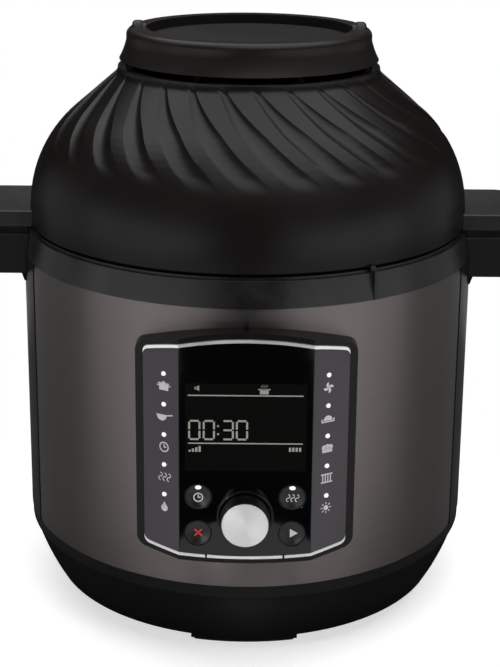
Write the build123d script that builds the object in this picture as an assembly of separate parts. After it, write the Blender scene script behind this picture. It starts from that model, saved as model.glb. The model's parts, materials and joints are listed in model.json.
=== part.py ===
from build123d import *
import os
from math import asin, cos, degrees, dist, hypot, pi, radians, sin

# Electric pressure cooker with its air-frying dome lid fitted. Millimetres, +Z up, the front faces -Y.
# The origin is on the worktop, under the middle of the body.

# Heights, stacked from the worktop up
FOOT_H = 10.0
BASE_H = 45.0
WALL_H = 182.0
BAND_H = 18.0
LID_GAP = 2.0
DOME_H = 102.5
VENT_GAP = 4.5
COLLAR_H = 20.0

# Clearances: between bodies, between fixed pieces, and at running fits
SEAT_GAP = 0.3
SNUG_GAP = 0.1
RUN_GAP = 0.05

# Points along a wound tube, and how many of its radii apart two points must be to count as separate turns
GAP_POINTS = 800
GAP_REACH = 10

# Steel wall, its side pillars and the base under it
BODY_R = 151.0
STEEL_T = 1.0
STEEL_CORNER_R = 5.0
PILLAR_ANGLE = 46.0
PILLAR_PROUD = 0.5
SEAM_ANGLE = 0.1
BASE_TAPER = 17.0
BASE_LIP_H = 7.5
BASE_LIP_STEP = 2.0
BASE_LIP_CHAMFER = 3.5
BASE_BULGE = 1.2
BASE_WALL = 3.0
BASE_SHELF_W = 17.0
PLATE_T = 2.0
PLATE_LAP = 5.0
VENT_COUNT = 16
VENT_R = 78.0
VENT_L = 34.0
VENT_W = 4.0
FOOT_COUNT = 4
FOOT_SET_IN = 9.0
FOOT_W = 69.0
FOOT_D = 18.0
FOOT_BOW = 3.7
PAD_T = 2.5
PAD_INSET = 2.0
SCREW_COUNT = 4
SCREW_HEAD_R = 3.2
SCREW_HEAD_H = 1.6
SCREW_SHANK_R = 1.4

# Rim band, side handles and the socket that feeds the lid
BAND_TAPER = 2.7
BAND_T = 3.0
BAND_SKIRT = 6.0
BAND_STEP_H = 1.6
BAND_STEP_W = 2.4
RIM_ROOM = 9.0
RIM_LIP_T = 4.0
RIM_DEPTH = 7.0
LEDGE_T = 3.0
DRIP_W = 4.0
DRIP_DEPTH = 1.5
DRIP_IN = 5.5
INDEX_ANGLE = -59.3
INDEX_W = 1.8
INDEX_PROUD = 0.9
INDEX_PIP_H = 2.6
INDEX_PIP_W = 3.4
INDEX_PIP_ROOT = 1.0
HANDLE_REACH = 33.0
HANDLE_W = 74.0
HANDLE_H = 27.0
HANDLE_DROP = 4.0
HANDLE_CORNER_R = 12.0
HANDLE_WALL = 4.0
HANDLE_EDGE_R = 1.5
APRON_H = 6.0
APRON_T = 3.0
APRON_TIP = 1.0
APRON_W = 68.0
APRON_LAP = 1.0
SOCKET_W = 28.0
SOCKET_H = 12.0
SOCKET_WALL = 1.2
PLUG_W = 24.0
PLUG_T = 7.6
PLUG_L = 11.5

# Pot, well and heater
POT_ROOM = 31.0
POT_T = 1.5
POT_RISE = 27.8
POT_CORNER_R = 18.0
POT_FLANGE = 7.6
WELL_GAP = 3.0
WELL_T = 1.0
WELL_HOLE_R = 38.0
HEATER_SET_IN = 20.0
HEATER_T = 13.0
HEATER_CHAMFER = 2.0
HEATER_HOLE_R = 14.0
SENSOR_R = 11.0
SENSOR_H = 14.5
SENSOR_TUBE_T = 1.4
SENSOR_TUBE_DROP = 6.0
SENSOR_LAP = 8.0
SENSOR_PLATE_T = 2.0
SPRING_R = 7.0
SPRING_WIRE_R = 0.7
SPRING_H = 9.5
SPRING_TURNS = 4

# Electronics in the base, and the mains inlet at the back
BOARD_T = 1.6
POWER_BOARD_W = 116.0
POWER_BOARD_D = 62.0
POWER_BOARD_BACK = 61.0
POST_H = 9.0
POST_R = 3.5
POST_IN = 6.0
RELAY_W = 20.0
RELAY_H = 16.0
RELAY_X = 4.0
RELAY_BACK = 2.0
TRANSFORMER_W = 32.0
TRANSFORMER_H = 26.0
CAPACITOR_R = 8.0
CAPACITOR_H = 22.0
CAPACITOR_PITCH = 21.0
INLET_W = 31.0
INLET_H = 22.0
INLET_RISE = 14.0
INLET_DEPTH = 26.0
INLET_SET_IN = 1.0
INLET_WALL = 3.0
INLET_CAVITY = 17.0
INLET_PIN_L = 11.0
INLET_PIN_W = 4.0
INLET_PIN_T = 2.0
INLET_PIN_X = 7.0
INLET_PIN_LIFT = 2.0

# Control panel: a frame round a flat window with a swept-back wing on each side
PANEL_W = 134.0
PANEL_TOP_ROOM = 11.5
PANEL_RISE = 21.5
PANEL_TOP_BOW = 11.0
PANEL_BOTTOM_BOW = 6.5
PANEL_CORNER_R = 7.0
PANEL_PROUD = 11.0
FRAME_STEP = 1.0
FRAME_LAP = 11.0
FRAME_SIDE = 5.0
FASCIA_TOP = 3.8
FASCIA_BOTTOM = 3.5
FASCIA_TOP_BOW = 8.0
FASCIA_BOTTOM_BOW = 6.0
FASCIA_CORNER_R = 4.0
FASCIA_T = 3.0
WING_W = 21.8
WING_SWEEP = 12.0
TRIM_W = 1.9
TRIM_PROUD = 0.5
TRIM_BREAK_X = 23.7
TRIM_BREAK_W = 1.2
SHELF_W = 3.0
SHELF_T = 2.0
PANEL_TAB_W = 2.4
PANEL_TAB_H = 3.2
PANEL_TAB_LAP = 1.0
LCD_SIDE = 2.7
LCD_TOP_ROOM = 29.7
LCD_RISE = 84.3
LCD_T = 8.0
KEY_R = 8.0
KEY_SIDE = 11.7
KEY_RISE = 42.1
KEY_PITCH = 23.9
KEY_DISH_R = 26.0
KEY_DISH = 1.1
KEY_FLANGE = 0.9
KEY_FLANGE_T = 1.2
KEY_STEM_R = 3.0
KEY_STEM_L = 1.6
SWITCH_W = 6.0
SWITCH_H = 3.6
LED_COUNT = 5
LED_SIDE = 9.0
LED_RISE = 65.4
LED_TOP_ROOM = 27.1
LED_R = 1.4
LED_PROUD = 0.2
CONTROL_BOARD_SIDE = 10.0
CONTROL_BOARD_TOP_ROOM = 25.5
CONTROL_BOARD_RISE = 41.0
DIAL_RISE = 53.4
DIAL_R = 15.2
DIAL_TAPER = 0.4
DIAL_L = 10.6
DIAL_GAP = 2.4
DIAL_CAP_R = 14.1
DIAL_CAP_T = 1.5
DIAL_RING_GAP = 0.5
DIAL_RING_W = 1.6
DIAL_RING_H = 1.5
DIAL_HOLE_R = 6.0
ENCODER_W = 14.0
ENCODER_T = 6.6
SLIDER_R = 4.5
SLIDER_L = 7.8
SHAFT_R = 3.0
SHAFT_IN_KNOB = 7.0
PUSH_ROOM = 1.2

# Drip cup at the back
CUP_W = 60.0
CUP_H = 34.0
CUP_WALL = 2.0
CUP_DEPTH = 21.0
CUP_OFF_WALL = 3.0
CUP_CORNER_R = 9.0
CUP_FLANGE = 3.0
CUP_FLANGE_T = 2.0
CUP_RAIL_T = 3.0
CUP_RAIL_L = 18.0
CUP_RAIL_IN = 32.0
CUP_DROP = 1.0
CUP_HEADROOM = 2.7

# Lid dome and its spiral flutes
DOME_SET_IN = 1.3
DOME_LEAN = 2.0
DOME_CORNER_RISE = 49.0
DOME_SHOULDER_R = 84.0
NECK_R = 87.0
NECK_BEND_DROP = 3.8
NECK_FILLET = 7.0
DOME_WALL = 5.0
DOME_LIP_IN = 4.0
DOME_LIP_T = 4.0
DOME_LIP_H = 8.0
FLUTE_COUNT = 27
FLUTE_TWIST = 28.0
FLUTE_START = 6.0
FLUTE_TOP_DROP = 3.5
FLUTE_RUN = 54.0
FLUTE_ROUND = 11.5
FLUTE_DEPTH = 2.4
FLUTE_CLEAR = 0.9
FLUTE_STATIONS = 7
BOSS_COUNT = 4
BOSS_R = 4.0
BOSS_IN = 9.5
BOSS_H = 20.0
BOSS_WEB_T = 3.0
LID_HANDLE_REACH = 37.0
LID_HANDLE_H = 10.4
LID_HANDLE_DROP = 0.8
LID_HANDLE_WALL = 3.0

# Collar, top disc and the bail that folds back into the collar
COLLAR_SET_IN = 1.0
COLLAR_FLARE = 4.8
COLLAR_FLARE_SHAPE = 0.4
COLLAR_WAIST_RISE = 12.5
COLLAR_EDGE_R = 4.5
COLLAR_WALL = 3.0
COLLAR_THICK = 14.0
RING_W = 13.6
DISC_T = 2.8
DISC_DEPTH = 6.0
DISC_LEDGE = 5.0
RIB_COUNT = 8
RIB_T = 3.0
RIB_D = 3.0
BAIL_W = 9.8
BAIL_T = 6.8
PIVOT_DROP = 3.6
KNUCKLE_R = 7.6
KNUCKLE_ROUND = 2.5
EAR_R = 6.0
EAR_T = 2.8
EAR_ROOM = 1.6
PIN_R = 1.5
PIN_IN_WALL = 1.2

# Hot-air works inside the lid
PAN_FLANGE_W = 14.7
PAN_T = 1.0
PAN_DEPTH = 47.0
PAN_RISE = 2.0
PAN_SHAFT_R = 8.0
GUARD_T = 2.0
GUARD_RISE = 4.0
GUARD_RINGS = 4
GUARD_RING_W = 2.2
GUARD_HUB_R = 24.9
GUARD_SPOKES = 6
COIL_R = 3.2
COIL_SIDE = 26.0
COIL_STEP = 8.0
COIL_HALF_TURNS = 5
COIL_RISE = 18.0
ARM_W = 8.0
ARM_T = 2.0
ARM_COUNT = 3
ARM_START = 30.0
ARM_REACH_IN = 3.0
FAN_R = 70.0
FAN_H = 12.0
FAN_T = 1.2
FAN_DROP = 4.0
FAN_BLADES = 8
FAN_HUB_R = 9.0
FAN_EYE_R = 24.0
FAN_LIP = 1.0
COOLER_R = 58.0
COOLER_H = 9.0
COOLER_RISE = 6.0
COOLER_BLADES = 7
COOLER_PITCH = 32.0
COOLER_CHORD = 13.6
VANE_ROOT = 2.0
SPINDLE_R = 4.0
SPINDLE_OUT = 3.0
MOTOR_R = 31.0
MOTOR_H = 26.0
MOTOR_RISE = 22.0
BRACKET_T = 3.0
BRACKET_ARMS = 3
BRACKET_R = 68.0
BRACKET_W = 14.0
LEG_R = 5.0

# Levels and radii that follow from the sizes above
Z_WALL = FOOT_H + BASE_H
Z_BAND = Z_WALL + WALL_H
Z_RIM = Z_BAND + BAND_H
Z_STEP = Z_RIM - BAND_STEP_H
Z_DOME = Z_RIM + LID_GAP
Z_NECK = Z_DOME + DOME_H
Z_COLLAR = Z_NECK + VENT_GAP
Z_RING = Z_COLLAR + COLLAR_H
Z_LEDGE = Z_RIM - RIM_DEPTH
Z_POT_TOP = Z_LEDGE + WELL_T + SEAT_GAP + POT_T
Z_POT = Z_WALL + POT_RISE
Z_HEATER = Z_POT - SEAT_GAP
Z_WELL = Z_HEATER - HEATER_T
Z_PLATE = FOOT_H + BASE_WALL
Z_BOARD = Z_PLATE + PLATE_T + POST_H
Z_PAN = Z_DOME + PAN_RISE
Z_PAN_TOP = Z_PAN + PAN_DEPTH
Z_MOTOR = Z_PAN_TOP + MOTOR_RISE
Z_PIVOT = Z_RING - PIVOT_DROP
Z_DISC = Z_RING - DISC_DEPTH
Z_COLLAR_FLOOR = Z_RING - COLLAR_THICK
Z_PANEL = Z_WALL + PANEL_RISE
Z_PANEL_TOP = Z_BAND - PANEL_TOP_ROOM
Z_DIAL = Z_WALL + DIAL_RISE
Z_CUP = Z_BAND - CUP_DROP - CUP_RAIL_T - CUP_HEADROOM
WALL_IN_R = BODY_R - STEEL_T
BASE_FOOT_R = BODY_R - BASE_TAPER
BASE_FLOOR_R = BASE_FOOT_R - BASE_SHELF_W
POWER_BOARD_Y = BASE_FLOOR_R - POWER_BOARD_BACK
FOOT_FRONT_R = BASE_FOOT_R - FOOT_SET_IN
BAND_TOP_R = BODY_R - BAND_TAPER
POT_R = BODY_R - POT_ROOM
WELL_R = POT_R + WELL_GAP
WELL_OUT_R = WELL_R + WELL_T
RIM_OPENING_R = POT_R + RIM_ROOM
LIP_OUT_R = RIM_OPENING_R + RIM_LIP_T
HEATER_R = POT_R - HEATER_SET_IN
DOME_FOOT_R = BAND_TOP_R - DOME_SET_IN
DOME_CORNER_R = DOME_FOOT_R - DOME_LEAN
DOME_LIP_R = DOME_FOOT_R - DOME_LIP_IN
PAN_FLANGE_R = DOME_LIP_R - DOME_LIP_T - SEAT_GAP
PAN_R = PAN_FLANGE_R - PAN_FLANGE_W
COIL_OUT_R = PAN_R - COIL_SIDE
BOSS_AT_R = DOME_LIP_R - BOSS_IN
COLLAR_R = NECK_R - COLLAR_SET_IN
COLLAR_WAIST_R = COLLAR_R - COLLAR_FLARE
RING_IN_R = COLLAR_WAIST_R - RING_W
BAIL_IN_R = RING_IN_R + SEAT_GAP
BAIL_OUT_R = BAIL_IN_R + BAIL_W
CHANNEL_R = BAIL_OUT_R + SEAT_GAP + RUN_GAP
KNUCKLE_X = BAIL_IN_R + EAR_T + SEAT_GAP
PANEL_H = Z_PANEL_TOP - Z_PANEL
FASCIA_W = PANEL_W - 2 * FRAME_SIDE
WINDOW_W = FASCIA_W - 2 * WING_W
LCD_W = WINDOW_W - 2 * LCD_SIDE
KEY_X = WINDOW_W / 2 - KEY_SIDE
LED_X = WINDOW_W / 2 + LED_SIDE
CONTROL_BOARD_W = FASCIA_W - 2 * CONTROL_BOARD_SIDE
Y_FASCIA = -(BODY_R + PANEL_PROUD)
Y_FASCIA_BACK = Y_FASCIA + FASCIA_T
Y_BOARD = Y_FASCIA_BACK + LCD_T
Y_INLET = BODY_R - INLET_SET_IN
Y_CUP = BODY_R + CUP_OFF_WALL
Z_INLET = FOOT_H + INLET_RISE
SCREW_START = 180 / FOOT_COUNT


def turned(*points):
    """Solid of revolution about Z from a closed outline of (radius, height) corners."""
    return revolve(Plane.XZ * make_face(Polyline(*points, close=True)), Axis.Z)


def sector(inner, outer, low, high, start, sweep):
    """Part of a tube between two azimuths, in degrees from +X towards +Y."""
    corners = Polyline((inner, low), (outer, low), (outer, high), (inner, high), close=True)
    return Rot(0, 0, start) * revolve(Plane.XZ * make_face(corners), Axis.Z, sweep)


def rod(radius, low, high, x=0.0, y=0.0):
    """Upright cylinder between two heights."""
    return Pos(x, y, low) * Cylinder(radius, high - low, align=(Align.CENTER, Align.CENTER, Align.MIN))


def rod_y(radius, front, back, x, z):
    """Cylinder along Y between two depths."""
    lying = Rot(-90, 0, 0) * Cylinder(radius, back - front, align=(Align.CENTER, Align.CENTER, Align.MIN))
    return Pos(x, front, z) * lying


def rod_x(radius, left, right, y, z):
    """Cylinder along X between two places."""
    lying = Rot(0, 90, 0) * Cylinder(radius, right - left, align=(Align.CENTER, Align.CENTER, Align.MIN))
    return Pos(left, y, z) * lying


def block(x0, x1, y0, y1, z0, z1):
    """Box between two corners."""
    return Pos((x0 + x1) / 2, (y0 + y1) / 2, (z0 + z1) / 2) * Box(x1 - x0, y1 - y0, z1 - z0)


def around(count, shape, start=0.0):
    """Copies of a shape turned evenly about Z."""
    return [Rot(0, 0, start + index * 360 / count) * shape for index in range(count)]


def group(shapes):
    """Separate solids kept together in one node."""
    return Part() + list(shapes)


def mirrored(shape):
    """The same piece on the other side of the body."""
    return Rot(0, 0, 180) * shape


def wound_tube(path, radius):
    """One unbroken round tube along a path."""
    return sweep(Plane(origin=path @ 0, z_dir=path % 0) * Circle(radius), path=path)


def least_gap(path, radius):
    """Least room between the turns of a wound tube, measured on points along its path."""
    points = [tuple(path @ (index / GAP_POINTS)) for index in range(GAP_POINTS + 1)]
    apart = 1 + int(GAP_POINTS * GAP_REACH * radius / path.length)
    pairs = ((first, second) for index, first in enumerate(points) for second in points[index + apart:])
    return min(dist(first, second) for first, second in pairs) - 2 * radius


# Base and body

def base_outline(inset):
    """Half section of the black base: lip, small step, gently bulged taper to the underside."""
    top_r = BODY_R - inset
    step_r = top_r - BASE_LIP_STEP
    step_z = Z_WALL - BASE_LIP_H
    taper_z = step_z - BASE_LIP_CHAMFER
    foot_r = BASE_FOOT_R - inset
    middle = ((step_r + foot_r) / 2 + BASE_BULGE, (taper_z + FOOT_H) / 2)
    lip = Polyline((0, Z_WALL), (top_r, Z_WALL), (top_r, step_z), (step_r, taper_z))
    taper = ThreePointArc((step_r, taper_z), middle, (foot_r, FOOT_H))
    under = Polyline((foot_r, FOOT_H), (0, FOOT_H), (0, Z_WALL))
    return Plane.XZ * make_face([lip, taper, under])


def foot_blank(inset, low, high):
    """The front foot: a block with a slightly bowed face."""
    half = FOOT_W / 2 - inset
    front = inset - FOOT_FRONT_R
    edge = front + FOOT_BOW
    back = FOOT_D - FOOT_FRONT_R - inset
    bow = ThreePointArc((-half, edge), (0, front), (half, edge))
    rest = Polyline((half, edge), (half, back), (-half, back), (-half, edge))
    return Pos(0, 0, low) * extrude(make_face([bow, rest]), high - low)


def inlet_blank(gap):
    """Outside of the mains inlet, with a gap all round for the hole that takes it."""
    half = INLET_W / 2 + gap
    return block(-half, half, Y_INLET - INLET_DEPTH, Y_INLET, Z_INLET - gap, Z_INLET + INLET_H + gap)


def base_ring():
    hollow = revolve(base_outline(BASE_WALL), Axis.Z) & rod(BODY_R, Z_PLATE, Z_WALL)
    ring = revolve(base_outline(0), Axis.Z) - hollow - rod(BASE_FLOOR_R, FOOT_H, Z_PLATE)
    ring += around(FOOT_COUNT, foot_blank(0, PAD_T, Z_PLATE))
    screw_hole = rod(SCREW_SHANK_R + SNUG_GAP, FOOT_H, Z_PLATE, BASE_FLOOR_R + PLATE_LAP / 2)
    ring -= around(SCREW_COUNT, screw_hole, SCREW_START)
    hole = inlet_blank(SNUG_GAP)
    return ring - hole - extrude(hole.faces().sort_by(Axis.Y)[-1], BODY_R)


def rubber_feet():
    return group(around(FOOT_COUNT, foot_blank(PAD_INSET, 0, PAD_T)))


def board_posts():
    """Places of the power board's four posts."""
    half_w = POWER_BOARD_W / 2 - POST_IN
    half_d = POWER_BOARD_D / 2 - POST_IN
    return [(x * half_w, POWER_BOARD_Y + y * half_d) for x in (-1, 1) for y in (-1, 1)]


def bottom_plate():
    top = Z_PLATE + PLATE_T
    plate = rod(BASE_FLOOR_R + PLATE_LAP, Z_PLATE, top)
    vent = block(VENT_R - VENT_L / 2, VENT_R + VENT_L / 2, -VENT_W / 2, VENT_W / 2, Z_PLATE, top)
    plate -= around(VENT_COUNT, vent)
    plate += [rod(POST_R, top, Z_BOARD, x, y) for x, y in board_posts()]
    screw_hole = rod(SCREW_SHANK_R + SNUG_GAP, Z_PLATE, top, BASE_FLOOR_R + PLATE_LAP / 2)
    return plate - around(SCREW_COUNT, screw_hole, SCREW_START)


def base_screws():
    at = BASE_FLOOR_R + PLATE_LAP / 2
    screw = rod(SCREW_HEAD_R, FOOT_H - SCREW_HEAD_H, FOOT_H, at)
    screw += rod(SCREW_SHANK_R, FOOT_H, Z_PLATE + PLATE_T, at)
    return group(around(SCREW_COUNT, screw, SCREW_START))


def steel_sheet(start):
    """Half of the steel wall, between the two pillars, with rounded corners."""
    sweep = 180 - PILLAR_ANGLE - 2 * SEAM_ANGLE
    sheet = sector(WALL_IN_R, BODY_R, Z_WALL, Z_BAND, start + PILLAR_ANGLE / 2 + SEAM_ANGLE, sweep)
    corners = sheet.edges().filter_by(GeomType.LINE).sort_by(lambda edge: edge.length)[:4]
    return fillet(corners, STEEL_CORNER_R)


def front_steel_panel():
    half = PANEL_W / 2 - FRAME_LAP
    low = Z_PANEL + PANEL_BOTTOM_BOW + FRAME_LAP
    high = Z_PANEL_TOP - PANEL_TOP_BOW - FRAME_LAP
    return steel_sheet(180) - block(-half, half, Y_FASCIA, 0, low, high)


def rear_steel_panel():
    return steel_sheet(0)


def side_pillar():
    outer = BODY_R + PILLAR_PROUD
    return sector(WALL_IN_R, outer, Z_WALL, Z_BAND, -PILLAR_ANGLE / 2, PILLAR_ANGLE)


def rim_band():
    skirt_r = WALL_IN_R - SNUG_GAP
    ledge_r = WELL_OUT_R + SNUG_GAP
    under = Z_LEDGE - LEDGE_T
    step_r = BAND_TOP_R - BAND_STEP_W
    band = turned(
        (BODY_R + PILLAR_PROUD, Z_BAND), (BAND_TOP_R, Z_STEP), (step_r, Z_STEP), (step_r, Z_RIM),
        (RIM_OPENING_R, Z_RIM), (RIM_OPENING_R, Z_LEDGE), (ledge_r, Z_LEDGE), (ledge_r, under),
        (LIP_OUT_R, under),
        (LIP_OUT_R, Z_RIM - BAND_T), (BAND_TOP_R - BAND_T, Z_RIM - BAND_T), (skirt_r - BAND_T, Z_BAND),
        (skirt_r - BAND_T, Z_BAND - BAND_SKIRT), (skirt_r, Z_BAND - BAND_SKIRT), (skirt_r, Z_BAND),
    )
    drip_r = RIM_OPENING_R + DRIP_IN
    floor = Z_RIM - DRIP_DEPTH
    band -= turned((drip_r, floor), (drip_r + DRIP_W, floor), (drip_r + DRIP_W, Z_RIM), (drip_r, Z_RIM))
    rib = block(BAND_TOP_R - BAND_T / 3, BODY_R + INDEX_PROUD, -INDEX_W / 2, INDEX_W / 2, Z_BAND, Z_RIM)
    pip_r = DOME_FOOT_R + SEAT_GAP
    pip_low = Z_STEP - INDEX_PIP_ROOT
    half_pip = INDEX_PIP_W / 2
    rib += block(pip_r, BAND_TOP_R + INDEX_PROUD, -half_pip, half_pip, pip_low, Z_RIM + INDEX_PIP_H)
    band += Rot(0, 0, INDEX_ANGLE) * rib
    return band - plug_blank(SEAT_GAP, Z_RIM - BAND_T)


def body_envelope(gap):
    """Outside of the steel wall and rim band, for pieces that seat on them."""
    wall_r = BODY_R + PILLAR_PROUD + gap
    top_r = BAND_TOP_R + gap
    return turned((0, 0), (wall_r, 0), (wall_r, Z_BAND), (top_r, Z_STEP), (top_r, Z_RIM), (0, Z_RIM))


def grip_blank(reach, low, high):
    """Flat grip on the +X side: rounded outer corners and a soft top edge."""
    inner = BODY_R / 2
    slab = block(inner, reach, -HANDLE_W / 2, HANDLE_W / 2, low, high)
    outer_corners = slab.edges().filter_by(Axis.Z).group_by(Axis.X)[-1]
    slab = fillet(outer_corners, HANDLE_CORNER_R)
    return fillet(slab.faces().sort_by(Axis.Z)[-1].edges(), HANDLE_EDGE_R)


def handle():
    reach = BODY_R + HANDLE_REACH
    high = Z_RIM - HANDLE_DROP
    low = high - HANDLE_H
    apron_r = BODY_R + PILLAR_PROUD + SNUG_GAP
    half_angle = degrees(asin(APRON_W / 2 / apron_r))
    grip = grip_blank(reach, low, high) - body_envelope(SNUG_GAP)
    half = HANDLE_W / 2 - HANDLE_WALL
    finger_room = block(apron_r + HANDLE_WALL, reach - HANDLE_WALL, -half, half, low, high - HANDLE_WALL)
    tip = low - APRON_H
    apron = sector(apron_r, apron_r + APRON_T, tip, low + APRON_LAP, -half_angle, 2 * half_angle)
    tip_r, root_r = apron_r + APRON_TIP, apron_r + APRON_T
    apron &= turned((0, tip), (tip_r, tip), (root_r, low), (root_r, high), (0, high))
    return grip - finger_room + apron


def plug_blank(gap, low):
    """The lid's plug at the back of the rim, grown by a gap for the hole that takes it."""
    half = PLUG_W / 2 + gap
    outer = DOME_LIP_R - SNUG_GAP
    return block(-half, half, outer - PLUG_T - gap, outer + gap, low - gap, Z_RIM + SEAT_GAP)


def lid_socket():
    top = Z_RIM - BAND_T
    outer = DOME_LIP_R - SNUG_GAP + SEAT_GAP + SOCKET_WALL
    inner = LIP_OUT_R + SNUG_GAP
    shell = block(-SOCKET_W / 2, SOCKET_W / 2, inner, outer, top - SOCKET_H, top)
    shell &= rod(BAND_TOP_R - BAND_T - SNUG_GAP, top - SOCKET_H, top)
    return shell - plug_blank(SEAT_GAP, Z_RIM + SEAT_GAP - PLUG_L)


# Well, heater and temperature sensor

def well_liner():
    flange_r = RIM_OPENING_R - SNUG_GAP
    low = Z_WELL - WELL_T
    return turned(
        (WELL_HOLE_R, low), (WELL_OUT_R, low), (WELL_OUT_R, Z_LEDGE), (flange_r, Z_LEDGE),
        (flange_r, Z_LEDGE + WELL_T), (WELL_R, Z_LEDGE + WELL_T), (WELL_R, Z_WELL), (WELL_HOLE_R, Z_WELL),
    )


def heater_plate():
    shoulder = Z_HEATER - HEATER_CHAMFER
    return turned(
        (HEATER_HOLE_R, Z_WELL), (HEATER_R, Z_WELL), (HEATER_R, shoulder),
        (HEATER_R - HEATER_CHAMFER, Z_HEATER), (HEATER_HOLE_R, Z_HEATER),
    )


def sensor_housing():
    bore = SENSOR_R + RUN_GAP
    tube_r = bore + SENSOR_TUBE_T
    floor = Z_HEATER - SENSOR_H - SPRING_H
    low = floor - SENSOR_PLATE_T
    top = Z_HEATER - SENSOR_TUBE_DROP
    plate_top = Z_WELL - WELL_T
    plate_r = WELL_HOLE_R + SENSOR_LAP
    return turned(
        (0, low), (tube_r, low), (tube_r, plate_top - SENSOR_PLATE_T), (plate_r, plate_top - SENSOR_PLATE_T),
        (plate_r, plate_top), (tube_r, plate_top), (tube_r, top), (bore, top), (bore, floor), (0, floor),
    )


def sensor_button():
    return rod(SENSOR_R, Z_HEATER - SENSOR_H, Z_HEATER)


def spring_path():
    low = Z_HEATER - SENSOR_H - SPRING_H + SPRING_WIRE_R + RUN_GAP
    rise = SPRING_H - 2 * (SPRING_WIRE_R + RUN_GAP)
    return Pos(0, 0, low) * Helix(rise / SPRING_TURNS, rise, SPRING_R)


def sensor_spring():
    return wound_tube(spring_path(), SPRING_WIRE_R)


def inner_pot():
    inside_r = POT_R - POT_T
    turn_r = POT_R - POT_CORNER_R
    turn_z = Z_POT + POT_CORNER_R
    flange_r = POT_R + POT_FLANGE
    outer_turn = CenterArc((turn_r, turn_z), POT_CORNER_R, -90, 90)
    rim = Polyline(
        (POT_R, turn_z), (POT_R, Z_POT_TOP - POT_T), (flange_r, Z_POT_TOP - POT_T), (flange_r, Z_POT_TOP),
        (inside_r, Z_POT_TOP), (inside_r, turn_z),
    )
    inner_turn = CenterArc((turn_r, turn_z), POT_CORNER_R - POT_T, 0, -90)
    floor = Polyline((turn_r, Z_POT + POT_T), (0, Z_POT + POT_T), (0, Z_POT), (turn_r, Z_POT))
    return revolve(Plane.XZ * make_face([outer_turn, rim, inner_turn, floor]), Axis.Z)


# Electronics

def power_board():
    half = POWER_BOARD_W / 2
    front = POWER_BOARD_Y - POWER_BOARD_D / 2
    return block(-half, half, front, front + POWER_BOARD_D, Z_BOARD, Z_BOARD + BOARD_T)


def board_components():
    low = Z_BOARD + BOARD_T
    y = POWER_BOARD_Y
    quarter = POWER_BOARD_W / 4
    half_t = TRANSFORMER_W / 2
    half_r = RELAY_W / 2
    shapes = [block(-quarter - half_t, -quarter + half_t, y - half_t, y + half_t, low, low + TRANSFORMER_H)]
    front = y + RELAY_BACK
    shapes.append(block(RELAY_X - half_r, RELAY_X + half_r, front, front + RELAY_W, low, low + RELAY_H))
    for side in (-1, 1):
        shapes.append(rod(CAPACITOR_R, low, low + CAPACITOR_H, quarter, y + side * CAPACITOR_PITCH / 2))
    return group(shapes)


def power_inlet():
    wall = INLET_WALL
    half = INLET_W / 2 - wall
    cavity = block(-half, half, Y_INLET - INLET_CAVITY, Y_INLET, Z_INLET + wall, Z_INLET + INLET_H - wall)
    return inlet_blank(0) - cavity


def inlet_pins():
    root = Y_INLET - INLET_CAVITY
    middle = Z_INLET + INLET_H / 2
    pins = []
    for x, side in ((-INLET_PIN_X, -1), (0, 1), (INLET_PIN_X, -1)):
        z = middle + side * INLET_PIN_LIFT
        half_t = INLET_PIN_T / 2
        half_w = INLET_PIN_W / 2
        pins.append(block(x - half_t, x + half_t, root, root + INLET_PIN_L, z - half_w, z + half_w))
    return group(pins)


# Control panel

def arched(half, low, high, low_bow, high_bow, corner):
    """Front view of the panel: bowed top and bottom, straight sides, rounded corners, as a long bar."""
    top = ThreePointArc((-half, high - high_bow), (0, high), (half, high - high_bow))
    right = Line((half, high - high_bow), (half, low + low_bow))
    bottom = ThreePointArc((half, low + low_bow), (0, low), (-half, low + low_bow))
    left = Line((-half, low + low_bow), (-half, high - high_bow))
    face = make_face([top, right, bottom, left])
    face = fillet(face.vertices(), corner)
    return extrude(Plane.XZ * face, BODY_R + 2 * PANEL_PROUD)


def fascia_bar(grow, trim):
    """Bar of the fascia's outline, grown all round, or shortened by a trim at top and bottom."""
    low = Z_PANEL + FASCIA_BOTTOM - grow + trim
    high = Z_PANEL_TOP - FASCIA_TOP + grow - trim
    corner = FASCIA_CORNER_R + max(grow, 0)
    return arched(FASCIA_W / 2 + grow, low, high, FASCIA_BOTTOM_BOW, FASCIA_TOP_BOW, corner)


def swept_slab(front, depth):
    """Plan of the panel front: flat in the middle, swept back on both wings."""
    flat = WINDOW_W / 2
    side = PANEL_W / 2 + FRAME_STEP
    back = front + WING_SWEEP * (side - flat) / (FASCIA_W / 2 - flat)
    plan = Polyline(
        (-side, back), (-flat, front), (flat, front), (side, back), (side, back + depth),
        (flat, front + depth), (-flat, front + depth), (-side, back + depth), close=True,
    )
    return Pos(0, 0, Z_WALL) * extrude(make_face(plan), WALL_H)


def led_places():
    """Lamps on the two wings: (x, z, depth of the face there)."""
    slope = WING_SWEEP / (FASCIA_W / 2 - WINDOW_W / 2)
    wing_y = Y_FASCIA + (LED_X - WINDOW_W / 2) * slope
    low = Z_WALL + LED_RISE
    pitch = (Z_PANEL_TOP - LED_TOP_ROOM - low) / (LED_COUNT - 1)
    rows = [low + index * pitch for index in range(LED_COUNT)]
    return [(side * LED_X, z, wing_y) for side in (-1, 1) for z in rows]


def key_places():
    """Middles of the four round keys, keyed by what each one does."""
    low = Z_WALL + KEY_RISE
    high = low + KEY_PITCH
    return {"delay": (-KEY_X, high), "warm": (KEY_X, high), "cancel": (-KEY_X, low), "start": (KEY_X, low)}


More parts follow.
